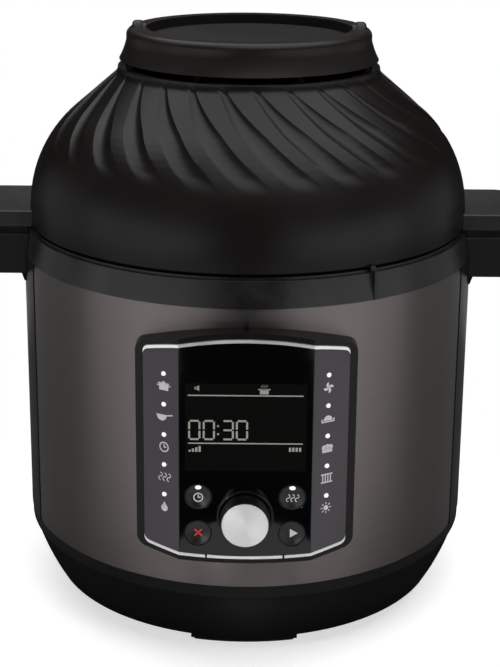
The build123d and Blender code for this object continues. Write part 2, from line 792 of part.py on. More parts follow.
def panel_bezel():
    outline = (PANEL_W / 2, Z_PANEL, Z_PANEL_TOP, PANEL_BOTTOM_BOW, PANEL_TOP_BOW, PANEL_CORNER_R)
    frame = arched(*outline) & swept_slab(Y_FASCIA + FRAME_STEP, BODY_R)
    frame -= fascia_bar(SNUG_GAP, 0)
    shelf = fascia_bar(FRAME_STEP, 0) & swept_slab(Y_FASCIA_BACK, SHELF_T)
    frame += shelf - fascia_bar(-SHELF_W, 0)
    half = PANEL_TAB_W / 2
    tab_low = Z_PANEL_TOP - PANEL_TAB_LAP
    tab = block(-half, half, Y_FASCIA + PANEL_PROUD / 2, -BODY_R, tab_low, Z_PANEL_TOP + PANEL_TAB_H)
    return frame + tab - rod(BODY_R + SNUG_GAP, 0, Z_BAND)


def led_holes():
    radius = LED_R + SNUG_GAP
    return [rod_y(radius, y - WING_SWEEP, y + FASCIA_T + WING_SWEEP, x, z) for x, z, y in led_places()]


def display_window():
    flat = WINDOW_W / 2 - RUN_GAP
    pane = fascia_bar(0, TRIM_W + RUN_GAP) & swept_slab(Y_FASCIA, FASCIA_T)
    pane &= block(-flat, flat, Y_FASCIA, Y_FASCIA_BACK, Z_WALL, Z_BAND)
    holes = [rod_y(KEY_R + SEAT_GAP, Y_FASCIA, Y_FASCIA_BACK, x, z) for x, z in key_places().values()]
    holes.append(rod_y(DIAL_HOLE_R, Y_FASCIA, Y_FASCIA_BACK, 0, Z_DIAL))
    return pane - holes


def wing():
    flat = WINDOW_W / 2 + RUN_GAP
    plate = fascia_bar(0, TRIM_W + RUN_GAP) & swept_slab(Y_FASCIA, FASCIA_T)
    plate &= block(flat, PANEL_W, 2 * Y_FASCIA, 0, Z_WALL, Z_BAND)
    return plate - led_holes()


def chrome_trim():
    strips = fascia_bar(0, 0) & swept_slab(Y_FASCIA - TRIM_PROUD, FASCIA_T + TRIM_PROUD)
    strips -= fascia_bar(0, TRIM_W)
    low = Z_PANEL
    half = TRIM_BREAK_W / 2
    for side in (-1, 1):
        x = side * TRIM_BREAK_X
        strips -= block(x - half, x + half, 2 * Y_FASCIA, 0, low, low + PANEL_H / 2)
    return strips


def indicator_lenses():
    return group(rod_y(LED_R, y - LED_PROUD, y + FASCIA_T, x, z) for x, z, y in led_places())


def lcd_module():
    low = Z_WALL + LCD_RISE
    return block(-LCD_W / 2, LCD_W / 2, Y_FASCIA_BACK, Y_BOARD, low, Z_PANEL_TOP - LCD_TOP_ROOM)


def control_board():
    low = Z_WALL + CONTROL_BOARD_RISE
    half = CONTROL_BOARD_W / 2
    return block(-half, half, Y_BOARD, Y_BOARD + BOARD_T, low, Z_PANEL_TOP - CONTROL_BOARD_TOP_ROOM)


def key_switches():
    half = SWITCH_W / 2
    front = Y_BOARD - SWITCH_H
    places = key_places().values()
    return group(block(x - half, x + half, front, Y_BOARD, z - half, z + half) for x, z in places)


def round_key(name):
    x, z = key_places()[name]
    flange_y = Y_FASCIA_BACK + SEAT_GAP
    stem_y = flange_y + KEY_FLANGE_T
    key = rod_y(KEY_R, Y_FASCIA, stem_y, x, z) + rod_y(KEY_R + KEY_FLANGE, flange_y, stem_y, x, z)
    key += rod_y(KEY_STEM_R, stem_y, stem_y + KEY_STEM_L, x, z)
    return key - Pos(x, Y_FASCIA - KEY_DISH_R + KEY_DISH, z) * Sphere(KEY_DISH_R)


def encoder_body():
    half = ENCODER_W / 2
    body = block(-half, half, Y_BOARD - ENCODER_T, Y_BOARD, Z_DIAL - half, Z_DIAL + half)
    return body - rod_y(SLIDER_R + RUN_GAP, Y_BOARD - ENCODER_T, Y_BOARD, 0, Z_DIAL)


def encoder_slider():
    back = Y_BOARD - PUSH_ROOM
    tube = rod_y(SLIDER_R, back - SLIDER_L, back, 0, Z_DIAL)
    return tube - rod_y(SHAFT_R + RUN_GAP, back - SLIDER_L, back, 0, Z_DIAL)


def dial_shaft():
    return rod_y(SHAFT_R, Y_FASCIA - DIAL_GAP - SHAFT_IN_KNOB, Y_BOARD - PUSH_ROOM, 0, Z_DIAL)


def dial_knob():
    back = Y_FASCIA - DIAL_GAP
    front = back - DIAL_L
    cone = Cone(DIAL_R, DIAL_R - DIAL_TAPER, DIAL_L, align=(Align.CENTER, Align.CENTER, Align.MIN))
    knob = Pos(0, back, Z_DIAL) * (Rot(90, 0, 0) * cone)
    knob -= rod_y(DIAL_CAP_R + RUN_GAP, front, front + DIAL_CAP_T, 0, Z_DIAL)
    return knob - rod_y(SHAFT_R + RUN_GAP, back - SHAFT_IN_KNOB, back, 0, Z_DIAL)


def dial_cap():
    front = Y_FASCIA - DIAL_GAP - DIAL_L
    return rod_y(DIAL_CAP_R, front, front + DIAL_CAP_T, 0, Z_DIAL)


def dial_ring():
    inner = DIAL_R + DIAL_RING_GAP
    ring = rod_y(inner + DIAL_RING_W, Y_FASCIA - DIAL_RING_H, Y_FASCIA, 0, Z_DIAL)
    return ring - rod_y(inner, Y_FASCIA - DIAL_RING_H, Y_FASCIA, 0, Z_DIAL)


# Drip cup at the back

def cup_bracket():
    outer = CUP_W / 2 + CUP_FLANGE + SEAT_GAP + CUP_RAIL_T
    inner = CUP_W / 2 + CUP_FLANGE + SEAT_GAP
    lip = CUP_W / 2 + SEAT_GAP
    top = Z_BAND - CUP_DROP
    under = top - CUP_RAIL_T
    flange_low = Z_CUP - CUP_FLANGE_T - SEAT_GAP
    low = flange_low - CUP_FLANGE_T
    rear = BODY_R + CUP_RAIL_L
    front = BODY_R - CUP_RAIL_IN
    bracket = block(-outer, outer, front, rear, under, top)
    for side in (-1, 1):
        x0, x1 = sorted((side * inner, side * outer))
        bracket += block(x0, x1, front, rear, low, under)
        x0, x1 = sorted((side * lip, side * outer))
        bracket += block(x0, x1, front, rear, low, flange_low)
    return bracket - rod(BODY_R + SNUG_GAP, 0, Z_RIM)


def condensation_cup():
    rear = Y_CUP + CUP_DEPTH
    low = Z_CUP - CUP_H
    half = CUP_W / 2
    half_in = half - CUP_WALL
    cup = block(-half, half, Y_CUP, rear, low, Z_CUP)
    cup = fillet(cup.edges().filter_by(Axis.Z).group_by(Axis.Y)[-1], CUP_CORNER_R)
    inside = block(-half_in, half_in, Y_CUP + CUP_WALL, rear - CUP_WALL, low + CUP_WALL, Z_CUP)
    inside = fillet(inside.edges().filter_by(Axis.Z).group_by(Axis.Y)[-1], CUP_CORNER_R - CUP_WALL)
    wide = half + CUP_FLANGE
    flange = block(-wide, wide, Y_CUP, BODY_R + CUP_RAIL_L, Z_CUP - CUP_FLANGE_T, Z_CUP)
    return cup + flange - inside


# Lid dome with its spiral flutes

def dome_corners():
    """Corners of the dome's half section, before its two bends are rounded."""
    return [
        (DOME_FOOT_R, Z_DOME), (DOME_CORNER_R, Z_DOME + DOME_CORNER_RISE), (NECK_R, Z_NECK - NECK_BEND_DROP),
        (NECK_R, Z_NECK),
    ]


def inset_corners(points, depth):
    """The same corners moved inwards by a wall's thickness."""
    runs = []
    for (x0, y0), (x1, y1) in zip(points, points[1:]):
        length = hypot(x1 - x0, y1 - y0)
        shift = (-(y1 - y0) * depth / length, (x1 - x0) * depth / length)
        runs.append(((x0 + shift[0], y0 + shift[1]), (x1 - x0, y1 - y0)))
    corners = [runs[0][0]]
    for (start, way), (other, turn) in zip(runs, runs[1:]):
        cross = way[0] * turn[1] - way[1] * turn[0]
        reach = ((other[0] - start[0]) * turn[1] - (other[1] - start[1]) * turn[0]) / cross
        corners.append((start[0] + way[0] * reach, start[1] + way[1] * reach))
    start, way = runs[-1]
    corners.append((start[0] + way[0], start[1] + way[1]))
    return corners


def dome_profile(inset):
    """Open half section of the dome, in the XY plane as (radius, height)."""
    corners = inset_corners(dome_corners(), inset) if inset else dome_corners()
    return FilletPolyline(*corners, radius=[DOME_SHOULDER_R - inset, NECK_FILLET + inset])


def dome_blank(inset):
    """Solid inside a dome profile."""
    profile = dome_profile(inset)
    ends = sorted((profile @ 0, profile @ 1), key=lambda point: point.Y)
    low, high = [(end.X, end.Y) for end in ends]
    closing = Polyline(high, (0, high[1]), (0, low[1]), low)
    return revolve(Plane.XZ * make_face([profile, closing]), Axis.Z)


def profile_at(profile, height):
    """Radius and outward normal of the dome profile at a height, found by halving."""
    rising = (profile @ 1).Y > (profile @ 0).Y
    low, high = 0.0, 1.0
    while high - low > 1e-9:
        middle = (low + high) / 2
        below = (profile @ middle).Y < height
        if below == rising:
            low = middle
        else:
            high = middle
    along = profile % low
    sense = 1 if along.Y > 0 else -1
    return (profile @ low).X, (sense * along.Y, -sense * along.X)


def flute_point(profile, share):
    """Point and outward normal on a flute's spiral, from its top (0) to its lower end (1)."""
    height = Z_NECK - FLUTE_TOP_DROP - FLUTE_RUN * share
    radius, normal = profile_at(profile, height)
    angle = radians(FLUTE_START + FLUTE_TWIST * share)
    point = Vector(radius * cos(angle), radius * sin(angle), height)
    return point, Vector(normal[0] * cos(angle), normal[0] * sin(angle), normal[1])


def flute_cutter():
    """One flute: a round tool that follows the spiral and sinks in between its two ends."""
    profile = dome_profile(0)
    step = 1 / (FLUTE_STATIONS - 1)
    sections = []
    for index in range(FLUTE_STATIONS):
        share = index * step
        point, normal = flute_point(profile, share)
        before, _ = flute_point(profile, max(0, share - step / 8))
        after, _ = flute_point(profile, min(1, share + step / 8))
        along = (after - before).normalized()
        swell = max(0, sin(pi * share)) ** 0.6
        depth = (FLUTE_DEPTH + FLUTE_CLEAR) * swell - FLUTE_CLEAR
        middle = point + normal * (FLUTE_ROUND - depth)
        sections.append(Plane(origin=middle, x_dir=normal.cross(along), z_dir=along) * Circle(FLUTE_ROUND))
    return loft(sections)


def lid_dome():
    outer = dome_blank(0)
    shell = outer - dome_blank(DOME_WALL)
    low = Z_RIM + SEAT_GAP
    lip_in = DOME_LIP_R - DOME_LIP_T
    lip_top = Z_DOME + DOME_LIP_H
    lip = turned((lip_in, low), (DOME_LIP_R, low), (DOME_LIP_R, lip_top), (lip_in, lip_top))
    boss_low = Z_PAN + PAN_T
    boss = rod(BOSS_R, boss_low, boss_low + BOSS_H, BOSS_AT_R)
    half = BOSS_WEB_T / 2
    boss += block(BOSS_AT_R, DOME_LIP_R, -half, half, boss_low, boss_low + BOSS_H)
    boss -= rod(SCREW_SHANK_R + SNUG_GAP, boss_low, boss_low + BOSS_H / 2, BOSS_AT_R)
    bosses = [copy & outer for copy in around(BOSS_COUNT, boss, 180 / BOSS_COUNT)]
    dome = shell + lip + bosses
    return dome - around(FLUTE_COUNT, flute_cutter())


def lid_handle():
    reach = DOME_FOOT_R + LID_HANDLE_REACH
    low = Z_DOME - LID_HANDLE_DROP
    high = low + LID_HANDLE_H
    lean = (DOME_FOOT_R - DOME_CORNER_R) / DOME_CORNER_RISE
    foot_r = DOME_FOOT_R + SNUG_GAP
    top_r = foot_r - lean * (high - Z_DOME)
    side = turned((0, low), (foot_r, low), (foot_r, Z_DOME), (top_r, high), (0, high))
    half = HANDLE_W / 2 - LID_HANDLE_WALL
    inner = foot_r + LID_HANDLE_WALL
    hollow = block(inner, reach - LID_HANDLE_WALL, -half, half, low, high - LID_HANDLE_WALL)
    return grip_blank(reach, low, high) - side - hollow


def lid_plug():
    return plug_blank(0, Z_RIM + SEAT_GAP - PLUG_L)


# Collar, top disc and bail

def collar_skin():
    """Outer line of the collar in half section: flared skirt, waist and rounded top edge."""
    waist_z = Z_COLLAR + COLLAR_WAIST_RISE
    edge_z = Z_RING - COLLAR_EDGE_R
    edge_r = COLLAR_WAIST_R - COLLAR_EDGE_R
    middle = (COLLAR_WAIST_R + COLLAR_FLARE * COLLAR_FLARE_SHAPE, (Z_COLLAR + waist_z) / 2)
    flare = ThreePointArc((COLLAR_R, Z_COLLAR), middle, (COLLAR_WAIST_R, waist_z))
    side = Line((COLLAR_WAIST_R, waist_z), (COLLAR_WAIST_R, edge_z))
    edge = CenterArc((edge_r, edge_z), COLLAR_EDGE_R, 0, 90)
    return [flare, side, edge]


def collar_outline():
    """Half section of the collar, with its top ring and the hollow under its floor."""
    edge_r = COLLAR_WAIST_R - COLLAR_EDGE_R
    ledge_r = RING_IN_R - DISC_LEDGE
    ledge_z = Z_DISC - DISC_T
    rest = Polyline(
        (edge_r, Z_RING), (RING_IN_R, Z_RING), (RING_IN_R, ledge_z), (ledge_r, ledge_z),
        (ledge_r, Z_COLLAR_FLOOR), (COLLAR_WAIST_R - COLLAR_WALL, Z_COLLAR_FLOOR),
        (COLLAR_R - COLLAR_WALL, Z_COLLAR), (COLLAR_R, Z_COLLAR),
    )
    return Plane.XZ * make_face([*collar_skin(), rest])


def collar_room():
    """Everything inside the collar's skin and the slot under it."""
    edge_r = COLLAR_WAIST_R - COLLAR_EDGE_R
    rest = Polyline((edge_r, Z_RING), (0, Z_RING), (0, Z_NECK), (COLLAR_R, Z_NECK), (COLLAR_R, Z_COLLAR))
    return revolve(Plane.XZ * make_face([*collar_skin(), rest]), Axis.Z)


def lid_collar():
    collar = revolve(collar_outline(), Axis.Z)
    floor = Z_RING - BAIL_T - SEAT_GAP
    channel = sector(RING_IN_R - 1, CHANNEL_R, floor, Z_RING + 1, 0, 180)
    pocket_r = KNUCKLE_R + SEAT_GAP
    for side in (-1, 1):
        x0, x1 = sorted((side * (RING_IN_R - 1), side * CHANNEL_R))
        pocket = rod_x(pocket_r, x0, x1, 0, Z_PIVOT)
        pocket += block(x0, x1, -pocket_r, pocket_r, Z_PIVOT, Z_RING + 1)
        collar -= pocket & rod(CHANNEL_R, Z_COLLAR, Z_RING + 1)
    collar -= channel
    for side in (-1, 1):
        x0, x1 = sorted((side * BAIL_IN_R, side * (BAIL_IN_R + EAR_T)))
        ear = rod_x(EAR_R, x0, x1, 0, Z_PIVOT) + block(x0, x1, -EAR_R, EAR_R, Z_COLLAR_FLOOR, Z_PIVOT)
        collar += ear
        collar -= pivot_pin(side, SNUG_GAP / 5)
    neck_in = NECK_R - DOME_WALL
    rib = block(neck_in, neck_in + RIB_D, -RIB_T / 2, RIB_T / 2, Z_NECK, Z_COLLAR_FLOOR + 1)
    rib += block(RING_IN_R, neck_in + RIB_D, -RIB_T / 2, RIB_T / 2, Z_COLLAR, Z_COLLAR_FLOOR + 1)
    collar += around(RIB_COUNT, rib & collar_room(), 180 / RIB_COUNT)
    return collar


def pivot_pin(side, grow):
    """Pin of the bail on one side, grown for the hole that takes it."""
    inner = side * (BAIL_IN_R - grow)
    outer = side * (CHANNEL_R + PIN_IN_WALL + grow)
    x0, x1 = sorted((inner, outer))
    return rod_x(PIN_R + grow, x0, x1, 0, Z_PIVOT)


def bail_pins():
    return group(pivot_pin(side, 0) for side in (-1, 1))


def bail_handle():
    bail = sector(BAIL_IN_R, BAIL_OUT_R, Z_RING - BAIL_T, Z_RING, 0, 180)
    knuckle_end = (BAIL_OUT_R**2 - KNUCKLE_R**2) ** 0.5
    for side in (-1, 1):
        x0, x1 = sorted((side * RING_IN_R / 2, side * KNUCKLE_X))
        bail -= rod_x(EAR_R + EAR_ROOM, x0, x1, 0, Z_PIVOT)
        x0, x1 = sorted((side * KNUCKLE_X, side * knuckle_end))
        knuckle = rod_x(KNUCKLE_R, x0, x1, 0, Z_PIVOT)
        outer_end = knuckle.faces().sort_by(Axis.X)[-1 if side > 0 else 0]
        bail += fillet(outer_end.edges(), KNUCKLE_ROUND)
    for side in (-1, 1):
        bail -= pivot_pin(side, RUN_GAP)
    return bail


def lid_top_disc():
    return rod(RING_IN_R - SNUG_GAP, Z_DISC - DISC_T, Z_DISC)


# Hot-air works in the lid

def reflector_pan():
    inner = PAN_R - PAN_T
    pan = turned(
        (PAN_SHAFT_R, Z_PAN_TOP), (inner, Z_PAN_TOP), (inner, Z_PAN), (PAN_FLANGE_R, Z_PAN),
        (PAN_FLANGE_R, Z_PAN + PAN_T), (PAN_R, Z_PAN + PAN_T), (PAN_R, Z_PAN_TOP + PAN_T),
        (PAN_SHAFT_R, Z_PAN_TOP + PAN_T),
    )
    hole = rod(SCREW_SHANK_R + SNUG_GAP, Z_PAN, Z_PAN + PAN_T, BOSS_AT_R)
    return pan - around(BOSS_COUNT, hole, 180 / BOSS_COUNT)


def lid_screws():
    screw = rod(SCREW_HEAD_R, Z_PAN - SCREW_HEAD_H, Z_PAN, BOSS_AT_R)
    screw += rod(SCREW_SHANK_R, Z_PAN, Z_PAN + PAN_T + BOSS_H / 2 - 1, BOSS_AT_R)
    return group(around(BOSS_COUNT, screw, 180 / BOSS_COUNT))


def heater_guard():
    outer = PAN_R - PAN_T - SNUG_GAP
    low = Z_PAN + GUARD_RISE
    high = low + GUARD_T
    pitch = (outer - GUARD_HUB_R) / (GUARD_RINGS - 1)
    half = GUARD_RING_W / 2
    guard = Part()
    for index in range(GUARD_RINGS):
        radius = outer - index * pitch
        guard += rod(radius, low, high) - rod(radius - GUARD_RING_W, low, high)
    spoke = block(GUARD_HUB_R - half, outer - half, -half, half, low, high)
    return guard + around(GUARD_SPOKES, spoke)


def coil_path():
    """Flat spiral of half turns, each a step smaller than the one before."""
    height = Z_PAN + COIL_RISE
    turns = []
    side = 1
    start_x = COIL_OUT_R
    radius = COIL_OUT_R
    for index in range(COIL_HALF_TURNS):
        middle_x = start_x - side * radius
        turns.append(CenterArc((middle_x, 0), radius, 0 if side > 0 else 180, 180))
        start_x = middle_x - side * radius
        radius -= COIL_STEP / 2
        side = -side
    return Pos(0, 0, height) * Wire([edge for turn in turns for edge in turn.edges()])


def heater_coil():
    return wound_tube(coil_path(), COIL_R)


def coil_arms():
    high = Z_PAN + COIL_RISE - COIL_R - SNUG_GAP
    inner = COIL_OUT_R - COIL_STEP * (COIL_HALF_TURNS + 1) / 2 - COIL_R - ARM_REACH_IN
    outer = PAN_R - PAN_T - SNUG_GAP
    arm = block(inner, PAN_R, -ARM_W / 2, ARM_W / 2, high - ARM_T, high) & rod(outer, Z_PAN, Z_PAN_TOP)
    return group(around(ARM_COUNT, arm, ARM_START))


def hot_air_fan():
    top = Z_PAN_TOP - FAN_DROP
    low = top - FAN_H
    fan = rod(FAN_HUB_R, low, top) + rod(FAN_R, top - FAN_T, top)
    blade = block(FAN_EYE_R, FAN_R - FAN_LIP, -FAN_T / 2, FAN_T / 2, low, top)
    fan += around(FAN_BLADES, blade)
    return fan - rod(SPINDLE_R + RUN_GAP, low, top)


def cooling_fan():
    low = Z_PAN_TOP + PAN_T + COOLER_RISE
    high = low + COOLER_H
    hub = rod(FAN_HUB_R, low, high)
    root = FAN_HUB_R - VANE_ROOT
    vane = Rot(COOLER_PITCH, 0, 0) * Box(COOLER_R - root, COOLER_CHORD, FAN_T)
    vane = Pos((COOLER_R + root) / 2, 0, (low + high) / 2) * vane
    return hub + around(COOLER_BLADES, vane) - rod(SPINDLE_R + RUN_GAP, low, high)


def motor_spindle():
    return rod(SPINDLE_R, Z_PAN_TOP - FAN_DROP - FAN_H - SPINDLE_OUT, Z_MOTOR + MOTOR_H + SPINDLE_OUT)


def fan_motor():
    motor = rod(MOTOR_R, Z_MOTOR, Z_MOTOR + MOTOR_H)
    return motor - rod(SPINDLE_R + RUN_GAP, Z_MOTOR, Z_MOTOR + MOTOR_H)


def motor_bracket():
    low = Z_MOTOR - BRACKET_T
    arm = block(0, BRACKET_R, -BRACKET_W / 2, BRACKET_W / 2, low, Z_MOTOR)
    arm += rod(BRACKET_W / 2, low, Z_MOTOR, BRACKET_R)
    arm += rod(LEG_R, Z_PAN_TOP + PAN_T, Z_MOTOR, BRACKET_R)
    bracket = rod(MOTOR_R, low, Z_MOTOR) + around(BRACKET_ARMS, arm)
    return bracket - rod(PAN_SHAFT_R, low, Z_MOTOR)


def nodes():
    """Every piece of the cooker by the name of its node."""
    pillar = side_pillar()
    grip = handle()
    lid_grip = lid_handle()
    right_wing = wing()
    pieces = {
        "base_ring": base_ring(),
        "rubber_feet": rubber_feet(),
        "bottom_plate": bottom_plate(),
        "base_screws": base_screws(),
        "front_steel_panel": front_steel_panel(),
        "rear_steel_panel": rear_steel_panel(),
        "side_pillars": group((pillar, mirrored(pillar))),
        "rim_band": rim_band(),
        "handle_right": grip,
        "handle_left": mirrored(grip),
        "lid_socket": lid_socket(),
        "well_liner": well_liner(),
        "heater_plate": heater_plate(),
        "sensor_housing": sensor_housing(),
        "sensor_button": sensor_button(),
        "sensor_spring": sensor_spring(),
        "inner_pot": inner_pot(),
        "power_board": power_board(),
        "board_components": board_components(),
        "power_inlet": power_inlet(),
        "inlet_pins": inlet_pins(),
        "panel_bezel": panel_bezel(),
        "display_window": display_window(),
        "wing_right": right_wing,
        "wing_left": mirror(right_wing, about=Plane.YZ),
        "chrome_trim": chrome_trim(),
        "indicator_lenses": indicator_lenses(),
        "lcd_module": lcd_module(),
        "control_board": control_board(),
        "key_switches": key_switches(),
        "encoder_body": encoder_body(),
        "encoder_slider": encoder_slider(),
        "dial_shaft": dial_shaft(),
        "dial_knob": dial_knob(),
        "dial_cap": dial_cap(),
        "dial_ring": dial_ring(),
        "cup_bracket": cup_bracket(),
        "condensation_cup": condensation_cup(),
        "lid_dome": lid_dome(),
        "lid_handle_right": lid_grip,
        "lid_handle_left": mirrored(lid_grip),
        "lid_plug": lid_plug(),
        "lid_collar": lid_collar(),
        "lid_top_disc": lid_top_disc(),
        "bail_handle": bail_handle(),
        "bail_pins": bail_pins(),
        "reflector_pan": reflector_pan(),
        "lid_screws": lid_screws(),
        "heater_guard": heater_guard(),
        "heater_coil": heater_coil(),
        "coil_arms": coil_arms(),
        "hot_air_fan": hot_air_fan(),
        "cooling_fan": cooling_fan(),
        "motor_spindle": motor_spindle(),
        "fan_motor": fan_motor(),
        "motor_bracket": motor_bracket(),
    }
    for name in key_places():
        pieces[name + "_key"] = round_key(name)
    return pieces


os.makedirs("parts", exist_ok=True)
for node, solid in nodes().items():
    export_step(solid, os.path.join("parts", node + ".step"))
print(f"sensor_spring: least gap between turns {least_gap(spring_path(), SPRING_WIRE_R):.2f} mm")
print(f"heater_coil: least gap between turns {least_gap(coil_path(), COIL_R):.2f} mm")
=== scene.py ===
"""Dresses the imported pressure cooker: smooth mouldings, fluted dome, printed panel, finishes and studio."""

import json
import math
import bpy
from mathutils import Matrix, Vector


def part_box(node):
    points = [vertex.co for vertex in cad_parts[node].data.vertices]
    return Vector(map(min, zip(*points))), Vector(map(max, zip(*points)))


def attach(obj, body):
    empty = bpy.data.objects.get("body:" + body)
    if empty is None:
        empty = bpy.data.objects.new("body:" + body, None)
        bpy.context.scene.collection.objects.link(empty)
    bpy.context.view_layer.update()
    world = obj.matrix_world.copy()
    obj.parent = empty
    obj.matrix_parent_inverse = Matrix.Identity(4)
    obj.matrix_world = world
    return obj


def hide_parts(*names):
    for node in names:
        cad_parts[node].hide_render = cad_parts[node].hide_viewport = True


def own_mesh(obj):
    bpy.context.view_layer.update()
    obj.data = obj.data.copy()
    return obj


bl_info = {
    "name": "Pressure Cooker",
    "version": (1, 0, 0),
    "blender": (4, 5, 0),
    "location": "View3D > Sidebar > Cooker",
    "description": "Models and finishes a countertop pressure cooker with its air-frying dome fitted",
    "category": "Object",
}

import bpy
from mathutils import Matrix, Vector

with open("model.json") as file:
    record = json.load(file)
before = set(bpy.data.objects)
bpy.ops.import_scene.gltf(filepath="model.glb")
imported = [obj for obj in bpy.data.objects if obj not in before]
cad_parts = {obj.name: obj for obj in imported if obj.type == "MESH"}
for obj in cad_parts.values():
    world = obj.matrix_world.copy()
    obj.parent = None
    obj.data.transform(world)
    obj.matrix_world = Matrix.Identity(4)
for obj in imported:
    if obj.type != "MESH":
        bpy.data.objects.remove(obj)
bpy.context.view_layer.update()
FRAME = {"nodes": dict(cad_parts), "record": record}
MM = 0.001

# How CAD meshes are cleaned: points nearer than this merge, and faces flatter than this join
WELD = 0.002 * MM
FLAT = math.radians(0.4)

# Edges sharper than the first angle are rounded in so many steps, and any that are left sharper than the last
# angle stay sharp in the shading
BEVEL_ABOVE = math.radians(28)
BEVEL_STEPS = 2
SHARP_ABOVE = math.radians(32)


# Selecting, copying and finishing meshes

def deselect():
    """Nothing selected, object mode."""
    if bpy.context.object and bpy.context.object.mode != "OBJECT":
        bpy.ops.object.mode_set(mode="OBJECT")
    bpy.ops.object.select_all(action="DESELECT")


def only(obj):
    """Makes one object the selected and active one."""
    deselect()
    obj.select_set(True)
    bpy.context.view_layer.objects.active = obj


def edit(obj, *steps):
    """Runs edit-mode steps on the whole mesh of an object."""
    only(obj)
    bpy.ops.object.mode_set(mode="EDIT")
    bpy.ops.mesh.select_all(action="SELECT")
    for step in steps:
        step()
    bpy.ops.object.mode_set(mode="OBJECT")
    return obj


def apply_all(obj):
    """Applies every modifier of an object, in order."""
    only(obj)
    for modifier in list(obj.modifiers):
        bpy.ops.object.modifier_apply(modifier=modifier.name)


def smooth(obj, sharp_above=SHARP_ABOVE):
    """Smooth shading that keeps edges above an angle sharp."""
    only(obj)
    bpy.ops.object.shade_smooth_by_angle(angle=sharp_above)


def soften(obj, width):
    """Rounds the sharp edges of a mesh by a small radius."""
    bevel = obj.modifiers.new("soft_edges", "BEVEL")
    bevel.width = width
    bevel.segments = BEVEL_STEPS
    bevel.limit_method = "ANGLE"
    bevel.angle_limit = BEVEL_ABOVE
    bevel.use_clamp_overlap = True
    bevel.miter_outer = "MITER_ARC"
    apply_all(obj)


def even_normals(obj):
    """Shading normals that follow the large faces, so that flat faces mirror as flat ones."""
    even = obj.modifiers.new("even_normals", "WEIGHTED_NORMAL")
    even.keep_sharp = True
    apply_all(obj)


def fresh_copy(part, name):
    """A merged copy of a CAD node's mesh, as a new object."""
    obj = bpy.data.objects.new(name, FRAME["nodes"][part].data.copy())
    bpy.context.scene.collection.objects.link(obj)
    return edit(
        obj,
        lambda: bpy.ops.mesh.remove_doubles(threshold=WELD),
        lambda: bpy.ops.mesh.dissolve_limited(angle_limit=FLAT, delimit=set()),
        lambda: bpy.ops.mesh.normals_make_consistent(inside=False),
    )


def settle(obj, body, material, slot, *parts):
    """Gives a finished piece its material and body, and hides the nodes that it stands for; the slot is not
    used.
    """
    obj.data.materials.clear()
    obj.data.materials.append(material)
    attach(obj, body)
    if parts:
        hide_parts(*parts)
    return obj


def refine(part, material, edge=0.0):
    """Stands a merged, softened and smoothed copy in for a CAD node."""
    record = FRAME["record"]
    body = next(key for key, members in record["behaviour"]["bodies"].items() if part in members)
    slot = next(row["material_slot"] for row in record["subparts"] if row["node"] == part)
    obj = fresh_copy(part, part + "_shown")
    if edge:
        soften(obj, edge)
    smooth(obj)
    even_normals(obj)
    return settle(obj, body, material, slot, part)


# Shader node groups

def new_group(name, inputs, outputs):
    """An empty shader group with float or vector sockets."""
    group = bpy.data.node_groups.new(name, "ShaderNodeTree")
    for label, kind, value in inputs:
        socket = group.interface.new_socket(name=label, in_out="INPUT", socket_type=kind)
        if value is not None:
            socket.default_value = value
    for label, kind in outputs:
        group.interface.new_socket(name=label, in_out="OUTPUT", socket_type=kind)
    start = group.nodes.new("NodeGroupInput")
    end = group.nodes.new("NodeGroupOutput")
    return group, start, end


def node(tree, kind, **values):
    """A node with its properties and unlinked inputs set by name."""
    made = tree.nodes.new(kind)
    for key, value in values.items():
        if hasattr(made, key):
            setattr(made, key, value)
        else:
            made.inputs[key.replace("_", " ")].default_value = value
    return made


def grain_group():
    """Moulding grain: fine pebbles with a softer unevenness under them."""
    group, start, end = new_group(
        "Moulding grain",
        [("Vector", "NodeSocketVector", None), ("Scale", "NodeSocketFloat", 900.0)],
        [("Height", "NodeSocketFloat")],
    )
    pit_share = 0.6
    fine = node(group, "ShaderNodeTexNoise", Detail=2.0, Roughness=0.6)
    pits = node(group, "ShaderNodeTexVoronoi", feature="SMOOTH_F1")
    add = node(group, "ShaderNodeMath", operation="MULTIPLY_ADD")
    add.inputs[1].default_value = pit_share
    for texture in (fine, pits):
        group.links.new(start.outputs["Vector"], texture.inputs["Vector"])
        group.links.new(start.outputs["Scale"], texture.inputs["Scale"])
    group.links.new(pits.outputs["Distance"], add.inputs[0])
    group.links.new(fine.outputs["Fac"], add.inputs[2])
    group.links.new(add.outputs[0], end.inputs["Height"])
    return group


def haze_group():
    """Handling haze: broad cloudy patches and small smudges, from 0 to 1."""
    group, start, end = new_group(
        "Handling haze",
        [("Vector", "NodeSocketVector", None), ("Size", "NodeSocketFloat", 14.0)],
        [("Haze", "NodeSocketFloat")],
    )
    smudge_share = 0.3
    broad = node(group, "ShaderNodeTexNoise", Detail=4.0, Roughness=0.55, Distortion=0.4)
    small = node(group, "ShaderNodeTexNoise", Scale=160.0, Detail=3.0)
    ramp = node(group, "ShaderNodeMapRange", From_Min=0.32, From_Max=0.68)
    blend = node(group, "ShaderNodeMath", operation="MULTIPLY_ADD")
    blend.inputs[1].default_value = smudge_share
    for texture in (broad, small):
        group.links.new(start.outputs["Vector"], texture.inputs["Vector"])
    group.links.new(start.outputs["Size"], broad.inputs["Scale"])
    group.links.new(broad.outputs["Fac"], ramp.inputs["Value"])
    group.links.new(small.outputs["Fac"], blend.inputs[0])
    group.links.new(ramp.outputs[0], blend.inputs[2])
    group.links.new(blend.outputs[0], end.inputs["Haze"])
    return group


